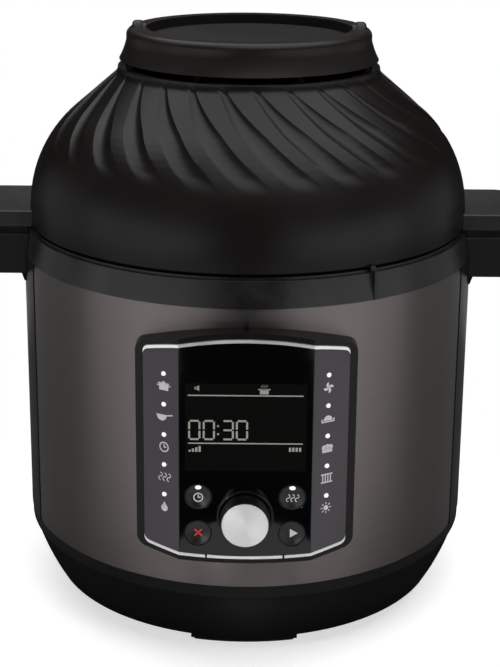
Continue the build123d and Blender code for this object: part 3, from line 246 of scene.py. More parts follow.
def brushed_group():
    """Brushed streaks that run level round the body: slow along X and Y, fast along Z."""
    group, start, end = new_group(
        "Level brushing",
        [("Vector", "NodeSocketVector", None), ("Pitch", "NodeSocketVector", (9.0, 9.0, 2600.0))],
        [("Streak", "NodeSocketFloat")],
    )
    stretch = node(group, "ShaderNodeVectorMath", operation="MULTIPLY")
    fine = node(group, "ShaderNodeTexNoise", Scale=1.0, Detail=3.0, Roughness=0.7)
    group.links.new(start.outputs["Vector"], stretch.inputs[0])
    group.links.new(start.outputs["Pitch"], stretch.inputs[1])
    group.links.new(stretch.outputs[0], fine.inputs["Vector"])
    group.links.new(fine.outputs["Fac"], end.inputs["Streak"])
    return group


def spun_group():
    """Turning marks: rings about an axis along Y through a middle."""
    group, start, end = new_group(
        "Turning marks",
        [("Vector", "NodeSocketVector", None), ("Middle", "NodeSocketVector", (0, 0, 0)),
         ("Pitch", "NodeSocketFloat", 2600.0)],
        [("Ring", "NodeSocketFloat")],
    )
    shift = node(group, "ShaderNodeVectorMath", operation="SUBTRACT")
    flat = node(group, "ShaderNodeVectorMath", operation="MULTIPLY")
    flat.inputs[1].default_value = (1, 0, 1)
    reach = node(group, "ShaderNodeVectorMath", operation="LENGTH")
    count = node(group, "ShaderNodeMath", operation="MULTIPLY")
    rings = node(group, "ShaderNodeTexNoise", noise_dimensions="1D", Scale=1.0, Detail=2.0)
    group.links.new(start.outputs["Vector"], shift.inputs[0])
    group.links.new(start.outputs["Middle"], shift.inputs[1])
    group.links.new(shift.outputs[0], flat.inputs[0])
    group.links.new(flat.outputs[0], reach.inputs[0])
    group.links.new(reach.outputs["Value"], count.inputs[0])
    group.links.new(start.outputs["Pitch"], count.inputs[1])
    group.links.new(count.outputs[0], rings.inputs["W"])
    group.links.new(rings.outputs["Fac"], end.inputs["Ring"])
    return group


GROUPS = {}


def place_group(tree, name, source, **values):
    """A shared group in a material, fed with Object coordinates."""
    if not GROUPS:
        GROUPS.update(grain=grain_group(), haze=haze_group(), brushed=brushed_group(), spun=spun_group())
    made = tree.nodes.new("ShaderNodeGroup")
    made.node_tree = GROUPS[name]
    tree.links.new(source.outputs["Object"], made.inputs["Vector"])
    for key, value in values.items():
        made.inputs[key].default_value = value
    return made


# Materials

def start_material(name, **sockets):
    """A material with one Principled shader whose constant sockets are set on the shader itself."""
    material = bpy.data.materials.new(name)
    material.use_nodes = True
    tree = material.node_tree
    shader = tree.nodes["Principled BSDF"]
    for key, value in sockets.items():
        shader.inputs[key.replace("_", " ")].default_value = value
    coords = tree.nodes.new("ShaderNodeTexCoord")
    return material, tree, shader, coords


def shade(colour, factor):
    """A colour made darker or lighter."""
    return tuple(channel * factor for channel in colour)


def grey(value):
    """A neutral colour."""
    return (value, value, value)


def spread(tree, source, low, high, target):
    """Feeds a 0 to 1 value into a socket between two numbers."""
    scale = node(tree, "ShaderNodeMapRange", To_Min=low, To_Max=high)
    tree.links.new(source, scale.inputs["Value"])
    tree.links.new(scale.outputs[0], target)


def tint(tree, source, dark, light, target):
    """Feeds a colour between two into a socket."""
    mix = node(tree, "ShaderNodeMix", data_type="RGBA")
    mix.inputs["A"].default_value = (*dark, 1)
    mix.inputs["B"].default_value = (*light, 1)
    tree.links.new(source, mix.inputs["Factor"])
    tree.links.new(mix.outputs["Result"], target)


def relief(tree, source, shader, strength, depth):
    """Bump from a height."""
    bump = node(tree, "ShaderNodeBump", Strength=strength, Distance=depth)
    tree.links.new(source, bump.inputs["Height"])
    tree.links.new(bump.outputs["Normal"], shader.inputs["Normal"])


def grain_round(tree, axis, shader):
    """Lets the grain of a metal run round an axis."""
    lay = node(tree, "ShaderNodeTangent", direction_type="RADIAL", axis=axis)
    tree.links.new(lay.outputs["Tangent"], shader.inputs["Tangent"])


def plastic(name, dark, light, rough, grain=900.0, depth=0.04 * MM, strength=0.5, haze=14.0, **sockets):
    """Moulded plastic: grain in its relief, haze in its colour and roughness."""
    material, tree, shader, coords = start_material(name, **sockets)
    cloud = place_group(tree, "haze", coords, Size=haze)
    pebble = place_group(tree, "grain", coords, Scale=grain)
    tint(tree, cloud.outputs["Haze"], dark, light, shader.inputs["Base Color"])
    spread(tree, cloud.outputs["Haze"], *rough, shader.inputs["Roughness"])
    relief(tree, pebble.outputs["Height"], shader, strength, depth)
    return material


def brushed_metal(name, dark, light, rough, pitch, **sockets):
    """Metal with level brushing in its colour, roughness and relief."""
    material, tree, shader, coords = start_material(name, Metallic=1.0, **sockets)
    streak = place_group(tree, "brushed", coords, Pitch=pitch).outputs["Streak"]
    tint(tree, streak, dark, light, shader.inputs["Base Color"])
    spread(tree, streak, *rough, shader.inputs["Roughness"])
    relief(tree, streak, shader, strength=0.35, depth=0.02 * MM)
    grain_round(tree, "Z", shader)
    return material


def worked_metal(name, dark, light, rough, size=40.0):
    """Plain pressed or drawn metal with a cloudy finish."""
    material, tree, shader, coords = start_material(name, Metallic=1.0)
    cloud = place_group(tree, "haze", coords, Size=size)
    tint(tree, cloud.outputs["Haze"], dark, light, shader.inputs["Base Color"])
    spread(tree, cloud.outputs["Haze"], *rough, shader.inputs["Roughness"])
    return material


def lit(name, colour, strength):
    """Printed or lit mark: even colour with a slightly uneven glow, which on printed ink is painted light."""
    material, tree, shader, coords = start_material(name, Roughness=0.5, Emission_Strength=strength)
    cloud = place_group(tree, "haze", coords, Size=300.0)
    for target in ("Base Color", "Emission Color"):
        tint(tree, cloud.outputs["Haze"], shade(colour, 0.86), colour, shader.inputs[target])
    return material


def window_pane():
    """Gloss black window with the faintly lit field of the display in it."""
    place = bpy.context.scene.cooker_panel
    blur = 0.6 * MM
    material, tree, shader, coords = start_material("Window gloss black", IOR=1.5)
    cloud = place_group(tree, "haze", coords, Size=30.0)
    split = node(tree, "ShaderNodeSeparateXYZ")
    both = node(tree, "ShaderNodeMath", operation="MULTIPLY")
    tree.links.new(coords.outputs["Object"], split.inputs[0])
    half_h = (place.display_high - place.display_low) / 2
    middle = (place.display_high + place.display_low) / 2
    for index, (axis, centre, half) in enumerate((("X", 0.0, place.display_half), ("Z", middle, half_h))):
        shift = node(tree, "ShaderNodeMath", operation="SUBTRACT")
        shift.inputs[1].default_value = centre
        size = node(tree, "ShaderNodeMath", operation="ABSOLUTE")
        fade = node(tree, "ShaderNodeMapRange", interpolation_type="SMOOTHSTEP", From_Min=half - blur,
                    From_Max=half, To_Min=1.0, To_Max=0.0)
        tree.links.new(split.outputs[axis], shift.inputs[0])
        tree.links.new(shift.outputs[0], size.inputs[0])
        tree.links.new(size.outputs[0], fade.inputs["Value"])
        tree.links.new(fade.outputs[0], both.inputs[index])
    dark, lit_field = (0.0015, 0.0015, 0.0020), (0.0055, 0.0052, 0.0048)
    tint(tree, both.outputs[0], dark, lit_field, shader.inputs["Base Color"])
    spread(tree, cloud.outputs["Haze"], 0.03, 0.07, shader.inputs["Roughness"])
    return material


def spun_cap():
    """Spun aluminium of the dial's cap, with turning marks round the dial's axis."""
    low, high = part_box("dial_cap")
    material, tree, shader, coords = start_material(
        "Cap spun aluminium", Metallic=1.0, Anisotropic=0.55, Anisotropic_Rotation=0.25)
    ring = place_group(tree, "spun", coords, Middle=tuple((low + high) / 2)).outputs["Ring"]
    tint(tree, ring, grey(0.92), grey(0.98), shader.inputs["Base Color"])
    spread(tree, ring, 0.48, 0.56, shader.inputs["Roughness"])
    relief(tree, ring, shader, strength=0.3, depth=0.01 * MM)
    grain_round(tree, "Y", shader)
    return material


def outer_plastics(look):
    """Mouldings of the lid, rim, handles and base."""
    lid, rim = look.lid_black, look.rim_grey
    return {
        "lid": plastic(
            "Lid satin black", shade(lid, 0.85), shade(lid, 1.15), (0.32, 0.40),
            grain=1100.0, depth=0.03 * MM, strength=0.35, Specular_IOR_Level=0.2),
        "rim": plastic(
            "Rim grained grey", shade(rim, 0.6), shade(rim, 1.4), (0.24, 0.36),
            grain=700.0, depth=0.08 * MM, strength=0.6, haze=60.0, Specular_IOR_Level=0.28),
        "grip": plastic(
            "Grip grained black", shade(rim, 0.6), shade(rim, 0.8), (0.32, 0.40),
            grain=700.0, depth=0.06 * MM, Specular_IOR_Level=0.14),
        "disc": plastic(
            "Disc matt black", (0.005, 0.0044, 0.0044), (0.007, 0.006, 0.006), (0.5, 0.6),
            grain=1400.0, strength=0.4, Specular_IOR_Level=0.2),
        # Collar and bail: the lid black made 1.6 to 2.2 times lighter, painted light that brightens them as
        # studio light would
        "collar": plastic(
            "Collar satin black with painted light", shade(lid, 1.6), shade(lid, 2.2), (0.34, 0.42),
            grain=1100.0, depth=0.03 * MM, strength=0.35, Specular_IOR_Level=0.2),
        # Near-black and almost glossless: painted shade for the vent slot under the collar
        "shadow": plastic("Vent painted shade black", grey(0.001), grey(0.002), (0.8, 0.9), Specular_IOR_Level=0.05),
        "base": plastic(
            "Base satin black", grey(0.010), grey(0.013), (0.36, 0.46),
            grain=1300.0, depth=0.03 * MM, strength=0.25, Specular_IOR_Level=0.08),
        "rubber": plastic(
            "Foot rubber", grey(0.010), grey(0.018), (0.7, 0.85),
            grain=700.0, depth=0.1 * MM, strength=0.6),
        "cup": plastic(
            "Cup frosted", (0.30, 0.32, 0.33), (0.38, 0.40, 0.41), (0.18, 0.32),
            depth=0.02 * MM, strength=0.2, Transmission_Weight=0.55, IOR=1.5),
    }


def panel_plastics(look):
    """Mouldings of the control panel and the electronics."""
    wing = look.wing_grey
    return {
        "bezel": plastic(
            "Bezel brown black", (0.005, 0.0042, 0.0040), (0.007, 0.006, 0.0056), (0.22, 0.30),
            grain=1500.0, depth=0.02 * MM, strength=0.2, Specular_IOR_Level=0.2),
        "wing": plastic(
            "Wing satin grey", shade(wing, 0.95), shade(wing, 1.05), (0.50, 0.58),
            grain=1800.0, depth=0.02 * MM, strength=0.25, Specular_IOR_Level=0.15),
        "window": window_pane(),
        "key": plastic(
            "Key satin black", (0.0030, 0.0030, 0.0034), (0.0044, 0.0044, 0.005), (0.26, 0.34),
            depth=0.005 * MM, strength=0.05),
        "knob": plastic(
            "Knob gloss black", grey(0.004), grey(0.007), (0.12, 0.2),
            depth=0.005 * MM, strength=0.05),
        "board": plastic(
            "Board lacquer", (0.010, 0.075, 0.026), (0.016, 0.105, 0.038), (0.22, 0.34),
            grain=500.0, depth=0.03 * MM, strength=0.2),
        "case": plastic("Component case", (0.016, 0.016, 0.018), (0.028, 0.028, 0.030), (0.40, 0.56)),
    }


def metals(look):
    """Brushed, spun, pressed and cast metals."""
    steel = look.steel_tint
    return {
        "steel": brushed_metal(
            "Body dark steel", shade(steel, 0.8), shade(steel, 1.2), (0.34, 0.44), (9.0, 9.0, 2600.0),
            Anisotropic=0.7, Anisotropic_Rotation=0.25),
        "pot": brushed_metal(
            "Pot brushed steel", (0.50, 0.50, 0.49), (0.66, 0.66, 0.65), (0.22, 0.34), (12.0, 12.0, 1900.0)),
        "bright": worked_metal("Bright steel", grey(0.52), (0.64, 0.64, 0.63), (0.22, 0.36)),
        "cast": worked_metal("Cast aluminium", grey(0.50), grey(0.62), (0.42, 0.58), 120.0),
        "chrome": worked_metal("Trim chrome", (0.88, 0.88, 0.89), (0.94, 0.94, 0.95), (0.38, 0.46), 60.0),
        "brass": worked_metal("Pin brass", (0.62, 0.46, 0.20), (0.74, 0.56, 0.28), (0.25, 0.38), 200.0),
        "coil": worked_metal("Coil oxide", (0.045, 0.042, 0.040), (0.085, 0.075, 0.068), (0.40, 0.62), 90.0),
        "cap": spun_cap(),
    }


def inks():
    """Prints, lamps and the figures of the display."""
    return {
        # The white and red prints glow a little although they are ink: painted light
        "print": lit("Panel print white with painted glow", (0.62, 0.62, 0.63), 0.14),
        "lamp": lit("Lamp white", grey(0.95), 0.5),
        "digit": lit("Display grey", (0.34, 0.34, 0.32), 0.16),
        "alert": lit("Print red with painted glow", (0.55, 0.030, 0.026), 0.22),
    }


MADE = {}


def finishes():
    """Every shared finish by name, made once."""
    if not MADE:
        look = bpy.context.scene.cooker_finish
        for family in (outer_plastics(look), panel_plastics(look), metals(look), inks()):
            MADE.update(family)
    return MADE


# Settings shown in the sidebar

def length(name, description, millimetres):
    """A length setting given in millimetres."""
    return bpy.props.FloatProperty(
        name=name, description=description, subtype="DISTANCE", unit="LENGTH", default=millimetres * MM,
        precision=5)


def angle(name, description, degrees):
    """An angle setting given in degrees."""
    return bpy.props.FloatProperty(
        name=name, description=description, subtype="ANGLE", default=math.radians(degrees))


def number(name, description, value):
    """A plain number setting."""
    return bpy.props.FloatProperty(name=name, description=description, default=value)


def paint(name, description, value):
    """A colour setting."""
    return bpy.props.FloatVectorProperty(name=name, description=description, subtype="COLOR", default=value)


class CookerFinish(bpy.types.PropertyGroup):
    """Colours and edge sizes that a user would change."""
    # The collar and bail take a lighter copy of this colour, with painted light in it
    lid_black: paint("Lid black", "Colour of the dome, collar and bail", (0.0050, 0.0040, 0.0035))
    rim_grey: paint("Rim grey", "Colour of the rim band and the four grips", (0.0095, 0.0092, 0.0095))
    steel_tint: paint("Steel tint", "Colour of the brushed body wall", (0.166, 0.148, 0.145))
    wing_grey: paint("Wing grey", "Colour of the two panel wings", (0.082, 0.073, 0.084))
    edge: length("Soft edge", "Radius on moulded edges", 0.8)
    fine_edge: length("Fine edge", "Radius on sheet and trim edges", 0.25)
    sensor_travel: length("Sensor travel", "How far the pot presses the sensor down", 2.0)
    # Height under the collar that gets the painted shade
    vent: length("Vent shade", "Height of the shaded slot under the collar", 4.5)


class CookerPanel(bpy.types.PropertyGroup):
    """Places of the prints on the panel."""
    mark_drop: length("Mark drop", "From a lamp down to its mark", 8.0)
    lamp_r: length("Lamp radius", "Radius of a lamp on the wings", 1.4)
    wing_w: length("Wing width", "Width of a wing, seen from the front", 21.8)
    wing_back: length("Wing setback", "How far a wing is swept back over its width", 12.0)
    key_dish: length("Key dish", "Depth of the dish in a key", 1.1)
    key_lamp_rise: length("Key lamp rise", "From a key's middle up to its lamp", 6.4)
    display_low: length("Display foot", "Height of the display's lower edge", 138.0)
    display_high: length("Display top", "Height of the display's upper edge", 194.5)
    display_half: length("Display half width", "Half of the display's width", 36.6)


class CookerDome(bpy.types.PropertyGroup):
    """Sizes of the dome and its flutes."""
    foot_r: length("Foot radius", "Radius at the dome's foot", 147.0)
    corner_r: length("Corner radius", "Radius where wall and cone would meet", 145.0)
    corner_rise: length("Corner rise", "Height of that meeting above the foot", 49.0)
    shoulder_r: length("Shoulder radius", "Rounding between wall and cone", 84.0)
    neck_r: length("Neck radius", "Radius of the neck", 87.0)
    neck_drop: length("Neck drop", "Height of the neck's straight edge", 3.8)
    neck_fillet: length("Neck fillet", "Rounding under the neck", 7.0)
    height: length("Height", "Foot to neck", 102.5)
    wall: length("Wall", "Thickness of the shell", 5.0)
    lip_in: length("Lip inset", "From the foot's radius to the lip", 4.0)
    lip_t: length("Lip thickness", "Thickness of the lip", 4.0)
    lip_rise: length("Lip rise", "Top of the lip above the foot", 8.0)
    flute_top: length("Flute top", "Top of the flutes under the neck", 1.2)
    flute_run: length("Flute run", "Height that the flutes take", 57.0)
    flute_depth: length("Flute depth", "Depth of a flute", 2.0)
    flute_share: number("Flute share", "Share of the pitch that a flute takes, the rest is land", 0.6)
    flutes: bpy.props.IntProperty(name="Flutes", description="Number of flutes", default=27)
    twist: angle("Twist", "Turn of a flute on its way down", 29.5)
    start: angle("Start", "Azimuth of the first flute at its top", -1.8)


class CookerStage(bpy.types.PropertyGroup):
    """Camera, floor and room."""
    eye: bpy.props.FloatVectorProperty(
        name="Camera place", description="Where the camera stands", subtype="TRANSLATION",
        default=(0.0, -1.0111, 0.5167))
    pitch: angle("Camera pitch", "Tilt of the camera from straight down", 74.213)
    roll: angle("Camera roll", "Turn of the camera about its line of sight", 0.5)
    lens: number("Lens", "Focal length in millimetres", 82.45)
    shift: bpy.props.FloatVectorProperty(
        name="Shift", description="Sideways and upward shift of the frame", size=2, default=(0.0039, -0.1252))
    floor_tone: paint("Floor tone", "Colour of the pale floor", grey(0.66))
    floor_glow: number("Floor glow", "Brightness that the floor adds of its own", 0.62)
    floor_near: length("Floor near", "Radius at which the floor starts to fade", 160.0)
    floor_far: length("Floor far", "Radius at which the floor has faded into the backdrop", 300.0)
    backdrop: number("Backdrop", "Brightness behind the cooker", 1.0)
    fill: number("Fill", "Brightness of the room on the cooker", 0.01)


# Pieces that are refined from the CAD

class COOKER_OT_base(bpy.types.Operator):
    """Base moulding, foot pads, bottom plate, screws and the mains inlet"""
    bl_idname = "cooker.base"
    bl_label = "Base"

    def execute(self, context):
        look, made = context.scene.cooker_finish, finishes()
        refine("base_ring", made["base"], look.edge)
        refine("rubber_feet", made["rubber"], look.edge)
        refine("bottom_plate", made["base"], look.fine_edge)
        refine("base_screws", made["bright"], look.fine_edge)
        refine("power_inlet", made["base"], look.fine_edge * 2)
        refine("inlet_pins", made["brass"], look.fine_edge)
        return {"FINISHED"}


class COOKER_OT_wall(bpy.types.Operator):
    """Dark brushed steel wall and the two side pillars"""
    bl_idname = "cooker.wall"
    bl_label = "Steel wall"

    def execute(self, context):
        look, made = context.scene.cooker_finish, finishes()
        refine("front_steel_panel", made["steel"], look.fine_edge)
        refine("rear_steel_panel", made["steel"], look.fine_edge)
        refine("side_pillars", made["grip"], look.fine_edge)
        return {"FINISHED"}


class COOKER_OT_rim(bpy.types.Operator):
    """Rim band, side handles and the socket behind the rim"""
    bl_idname = "cooker.rim"
    bl_label = "Rim and handles"

    def execute(self, context):
        look, made = context.scene.cooker_finish, finishes()
        refine("rim_band", made["rim"], look.edge / 2)
        for side in ("right", "left"):
            refine("handle_" + side, made["grip"], look.edge / 2)
        refine("lid_socket", made["base"], look.fine_edge)
        return {"FINISHED"}


class COOKER_OT_well(bpy.types.Operator):
    """Pot, well liner, heater plate and the sprung temperature sensor"""
    bl_idname = "cooker.well"
    bl_label = "Pot and well"

    def execute(self, context):
        look, made = context.scene.cooker_finish, finishes()
        refine("inner_pot", made["pot"], look.fine_edge)
        refine("well_liner", made["bright"], look.fine_edge)
        refine("heater_plate", made["cast"], look.edge / 2)
        refine("sensor_housing", made["bright"], look.fine_edge)
        refine("sensor_button", made["cast"], look.edge / 2)
        spring = refine("sensor_spring", made["bright"])
        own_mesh(spring)
        return {"FINISHED"}


class COOKER_OT_electronics(bpy.types.Operator):
    """Power board, control board and what sits on them"""
    bl_idname = "cooker.electronics"
    bl_label = "Electronics"

    def execute(self, context):
        look, made = context.scene.cooker_finish, finishes()
        for name in ("power_board", "control_board"):
            refine(name, made["board"], look.fine_edge / 2)
        for name in ("board_components", "key_switches", "encoder_body", "encoder_slider", "lcd_module"):
            refine(name, made["case"], look.fine_edge)
        return {"FINISHED"}


class COOKER_OT_panel(bpy.types.Operator):
    """Panel frame, window, wings, bright trim and lamps"""
    bl_idname = "cooker.panel"
    bl_label = "Control panel"

    def execute(self, context):
        look, made = context.scene.cooker_finish, finishes()
        refine("panel_bezel", made["bezel"], look.edge)
        refine("display_window", made["window"], look.fine_edge)
        for side in ("right", "left"):
            refine("wing_" + side, made["wing"], look.fine_edge)
        refine("chrome_trim", made["chrome"], look.fine_edge)
        refine("indicator_lenses", made["lamp"], look.fine_edge / 2)
        return {"FINISHED"}


class COOKER_OT_dial(bpy.types.Operator):
    """Push dial with its spun cap, shaft and foot ring"""
    bl_idname = "cooker.dial"
    bl_label = "Dial"

    def execute(self, context):
        look, made = context.scene.cooker_finish, finishes()
        refine("dial_knob", made["knob"], look.edge / 2)
        refine("dial_cap", made["cap"], look.edge / 2)
        refine("dial_ring", made["knob"], look.edge / 2)
        refine("dial_shaft", made["bright"], look.fine_edge)
        return {"FINISHED"}


class COOKER_OT_keys(bpy.types.Operator):
    """Four dished round keys"""
    bl_idname = "cooker.keys"
    bl_label = "Keys"

    def execute(self, context):
        look, made = context.scene.cooker_finish, finishes()
        for name in ("delay", "warm", "cancel", "start"):
            refine(name + "_key", made["key"], look.fine_edge)
        return {"FINISHED"}


class COOKER_OT_collar(bpy.types.Operator):
    """Collar, bare top disc and the folding bail on its pins"""
    bl_idname = "cooker.collar"
    bl_label = "Collar and bail"

    def execute(self, context):
        look, made = context.scene.cooker_finish, finishes()
        collar = refine("lid_collar", made["collar"], look.edge / 2)
        # Faces of the collar below the slot's top take the near-black finish: painted shade in the vent slot
        collar.data.materials.append(made["shadow"])
        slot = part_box("lid_dome")[1].z + look.vent
        for face in collar.data.polygons:
            face.material_index = int(face.center.z < slot)
        refine("lid_top_disc", made["disc"], look.edge / 2)
        # The bail takes the collar's lightened copy of the lid black, which is painted light
        refine("bail_handle", made["collar"], look.edge)
        refine("bail_pins", made["bright"], look.fine_edge)
        return {"FINISHED"}


class COOKER_OT_hot_air(bpy.types.Operator):
    """Reflector pan, guard, coil, fans and motor inside the lid"""
    bl_idname = "cooker.hot_air"
    bl_label = "Hot-air works"

    def execute(self, context):
        look, made = context.scene.cooker_finish, finishes()
        for name in (
                "reflector_pan", "heater_guard", "hot_air_fan", "motor_spindle", "coil_arms", "lid_screws"):
            refine(name, made["bright"], look.fine_edge)
        for name in ("cooling_fan", "motor_bracket", "fan_motor"):
            refine(name, made["case"], look.fine_edge)
        refine("heater_coil", made["coil"])
        return {"FINISHED"}


class COOKER_OT_drip_cup(bpy.types.Operator):
    """Drip cup and the bracket that carries it"""
    bl_idname = "cooker.drip_cup"
    bl_label = "Drip cup"

    def execute(self, context):
        look, made = context.scene.cooker_finish, finishes()
        refine("condensation_cup", made["cup"], look.edge / 2)
        refine("cup_bracket", made["base"], look.edge / 2)
        return {"FINISHED"}


# Printed marks, drawn flat in the XZ plane in millimetres and then set on their faces. A mark is drawn about
# its own middle, and the display as it stands above the worktop.

def flat_bar(x, z, wide, high, turn=0.0):
    """A filled bar about a point."""
    bpy.ops.mesh.primitive_plane_add(
        size=1, location=(x, 0, z), rotation=(math.pi / 2, math.radians(turn), 0))
    bpy.context.object.scale = (wide, high, 1)
    return bpy.context.object


def flat_disc(x, z, radius, corners=32, turn=0.0):
    """A filled disc, or a regular shape of few corners."""
    bpy.ops.mesh.primitive_circle_add(
        vertices=corners, radius=radius, fill_type="NGON", location=(x, 0, z),
        rotation=(math.pi / 2, math.radians(turn), 0))
    return bpy.context.object


def keep_side(obj, facing):
    """Cuts a flat shape through its middle and keeps the side that a direction points to."""
    return edit(obj, lambda: bpy.ops.mesh.bisect(
        plane_co=obj.location, plane_no=facing, use_fill=False, clear_inner=True))


def flat_half(x, z, radius, facing=(0, 0, -1)):
    """A half disc on one side of its straight edge."""
    return keep_side(flat_disc(x, z, radius), facing)


def flat_ring(x, z, radius, width, facing=None):
    """A ring, or the half of it on one side."""
    ring = flat_disc(x, z, radius)
    edit(ring, lambda: bpy.ops.mesh.inset(thickness=width), lambda: bpy.ops.mesh.delete(type="FACE"))
    return keep_side(ring, facing) if facing else ring


def curl(x, z, size):
    """A rising curl of steam: two half rings one above the other."""
    width = size * 0.34
    return [flat_ring(x, z - size + width / 2, size, width, (-1, 0, 0)),
            flat_ring(x, z + size - width / 2, size, width, (1, 0, 0))]


def steam(x, z, size, pitch):
    """Three curls of steam side by side."""
    return [half for step in (-1, 0, 1) for half in curl(x + step * pitch, z, size)]


def clock(x, z, radius, width):
    """A clock face with two hands."""
    hand = radius * 0.6
    return [flat_ring(x, z, radius, width), flat_bar(x, z + hand / 2, width, hand),
            flat_bar(x + hand / 2 - width / 2, z, hand, width)]


def cooking_pot():
    return [flat_bar(0, -0.6, 6.4, 3.8), flat_bar(0, 1.8, 7.6, 0.8), flat_bar(0, 2.7, 1.8, 0.8),
            flat_bar(-4.0, 0.5, 1.4, 0.8), flat_bar(4.0, 0.5, 1.4, 0.8)]


def frying_pan():
    return [flat_half(-1.5, 0.8, 3.4), flat_bar(-1.5, 1.0, 7.4, 0.6), flat_bar(3.9, 1.4, 4.6, 0.8, -12)]


def slow_clock():
    return clock(0, 0, 3.3, 0.7)


def steam_curls():
    return steam(0.3, 0, 1.5, 3.0)


def water_drop():
    return [flat_disc(0, -0.9, 2.3), flat_disc(0, 0.9, 2.35, 3)]


def air_fan():
    """Four half-round blades and a hub."""
    radius = 1.7
    blades = []
    for index in range(4):
        turn = math.radians(90 * index)
        facing = (math.cos(turn), 0, math.sin(turn))
        blades.append(flat_half(radius * math.sin(turn), -radius * math.cos(turn), radius, facing))
    return blades + [flat_disc(0, 0, 0.6)]


def roasting_tray():
    return [flat_bar(0, -2.2, 8.2, 0.8), flat_bar(-4.2, -1.4, 0.8, 2.2), flat_bar(4.2, -1.4, 0.8, 2.2),
            flat_half(0, -1.4, 3.1, (0, 0, 1))]


def loaf():
    return [flat_bar(0, -1.2, 7.0, 2.8), flat_disc(-2.2, 0.6, 1.7), flat_disc(0, 0.9, 1.8),
            flat_disc(2.2, 0.6, 1.7)]


def grill_bars():
    bars = [flat_bar(x, 0, 0.7, 5.2) for x in (-2.7, -0.9, 0.9, 2.7)]
    return bars + [flat_bar(0, 2.6, 8.0, 0.8), flat_bar(0, -2.6, 8.0, 0.8)]


def drying_sun():
    """Eight rays round a disc."""
    reach = 3.0
    rays = []
    for turn in range(0, 360, 45):
        bearing = math.radians(turn)
        rays.append(flat_bar(reach * math.cos(bearing), reach * math.sin(bearing), 1.4, 0.6, -turn))
    return rays + [flat_disc(0, 0, 1.6)]


def delay_clock():
    return clock(0, -0.6, 3.0, 0.65)


def warm_curls():
    return steam(0.2, -0.6, 1.35, 2.7)


def cancel_cross():
    return [flat_bar(0, 0, 6.4, 0.9, turn) for turn in (45, -45)]


def start_arrow():
    return [flat_disc(0.5, 0, 3.2, 3, 90)]


# Marks on the wings from the top down, and on each key with its ink and whether a lamp sits above it
WING_MARKS = {
    "left": (cooking_pot, frying_pan, slow_clock, steam_curls, water_drop),
    "right": (air_fan, roasting_tray, loaf, grill_bars, drying_sun),
}
KEY_MARKS = {
    "delay": (delay_clock, "print", True),
    "warm": (warm_curls, "print", True),
    "cancel": (cancel_cross, "alert", False),
    "start": (start_arrow, "print", False),
}
KEY_LAMP_SIZE = (1.9, 1.25, 1)

# Thickness of the inks in millimetres, and their offset: at 0 half lies behind the face, at 1 nothing does
WING_INK, KEY_INK, KEY_LAMP_INK, DISPLAY_INK = 0.12, 0.5, 0.4, 0.06
INK_OFFSET = 0.6

# The bars of a figure: across, up, and whether it lies level; and which of them each figure lights
SEGMENTS = {
    "a": (0.0, 1.0, True), "d": (0.0, -1.0, True), "g": (0.0, 0.0, True),
    "b": (1.0, 0.5, False), "c": (1.0, -0.5, False), "e": (-1.0, -0.5, False), "f": (-1.0, 0.5, False),
}
DIGITS = {"0": "abcdef", "3": "abcdg"}

# Layout of the display in millimetres: x from its middle, z from the worktop
RULE_X, RULE_W, RULE_T = -0.2, 68.8, 0.75
RULES_Z = (186.7, 156.1)
FIGURES = (("0", -30.8), ("0", -22.1), ("3", -10.8), ("0", -2.3))
FIGURE_Z, FIGURE_W, FIGURE_H, FIGURE_T = 164.6, 7.3, 12.9, 1.15
COLON_X, COLON_W = -16.6, 1.1
COLON_Z = (162.0, 167.2)
SPEAKER_X, SPEAKER_Z = -30.0, 191.3
POT_X, POT_Z = 10.8, 189.3
GAUGE_COUNT, GAUGE_PITCH, GAUGE_W = 4, 2.0, 1.3
RISING_X, RISING_Z, RISING_H, RISING_STEP = -33.6, 151.2, 1.2, 0.8
FULL_X, FULL_Z, FULL_H = 26.6, 152.4, 2.6


def digit(symbol, x):
    """One lit figure made of up to seven bars."""
    half_w, half_h = (FIGURE_W - FIGURE_T) / 2, (FIGURE_H - FIGURE_T) / 2
    corner = 0.9 * FIGURE_T
    level_bar = (FIGURE_W - FIGURE_T - corner, FIGURE_T)
    upright_bar = (FIGURE_T, half_h - corner)
    bars = []
    for name in DIGITS[symbol]:
        across, up, level = SEGMENTS[name]
        bar = level_bar if level else upright_bar
        bars.append(flat_bar(x + across * half_w, FIGURE_Z + up * half_h, *bar))
    return bars


def set_mark(name, shapes, place, turn, body, material, thick):
    """Joins flat shapes into one print and sets it on a face at a place, turned about Z."""
    deselect()
    for shape in shapes:
        shape.select_set(True)
    bpy.context.view_layer.objects.active = shapes[0]
    if len(shapes) > 1:
        bpy.ops.object.join()
    mark = bpy.context.object
    mark.name = name
    bpy.ops.object.transform_apply(location=True, rotation=True, scale=True)
    ink = mark.modifiers.new("ink", "SOLIDIFY")
    ink.thickness = thick
    ink.offset = INK_OFFSET
    apply_all(mark)
    mark.data.transform(Matrix.Translation(place) @ Matrix.Rotation(turn, 4, "Z") @ Matrix.Scale(MM, 4))
    settle(mark, body, material, "lens")


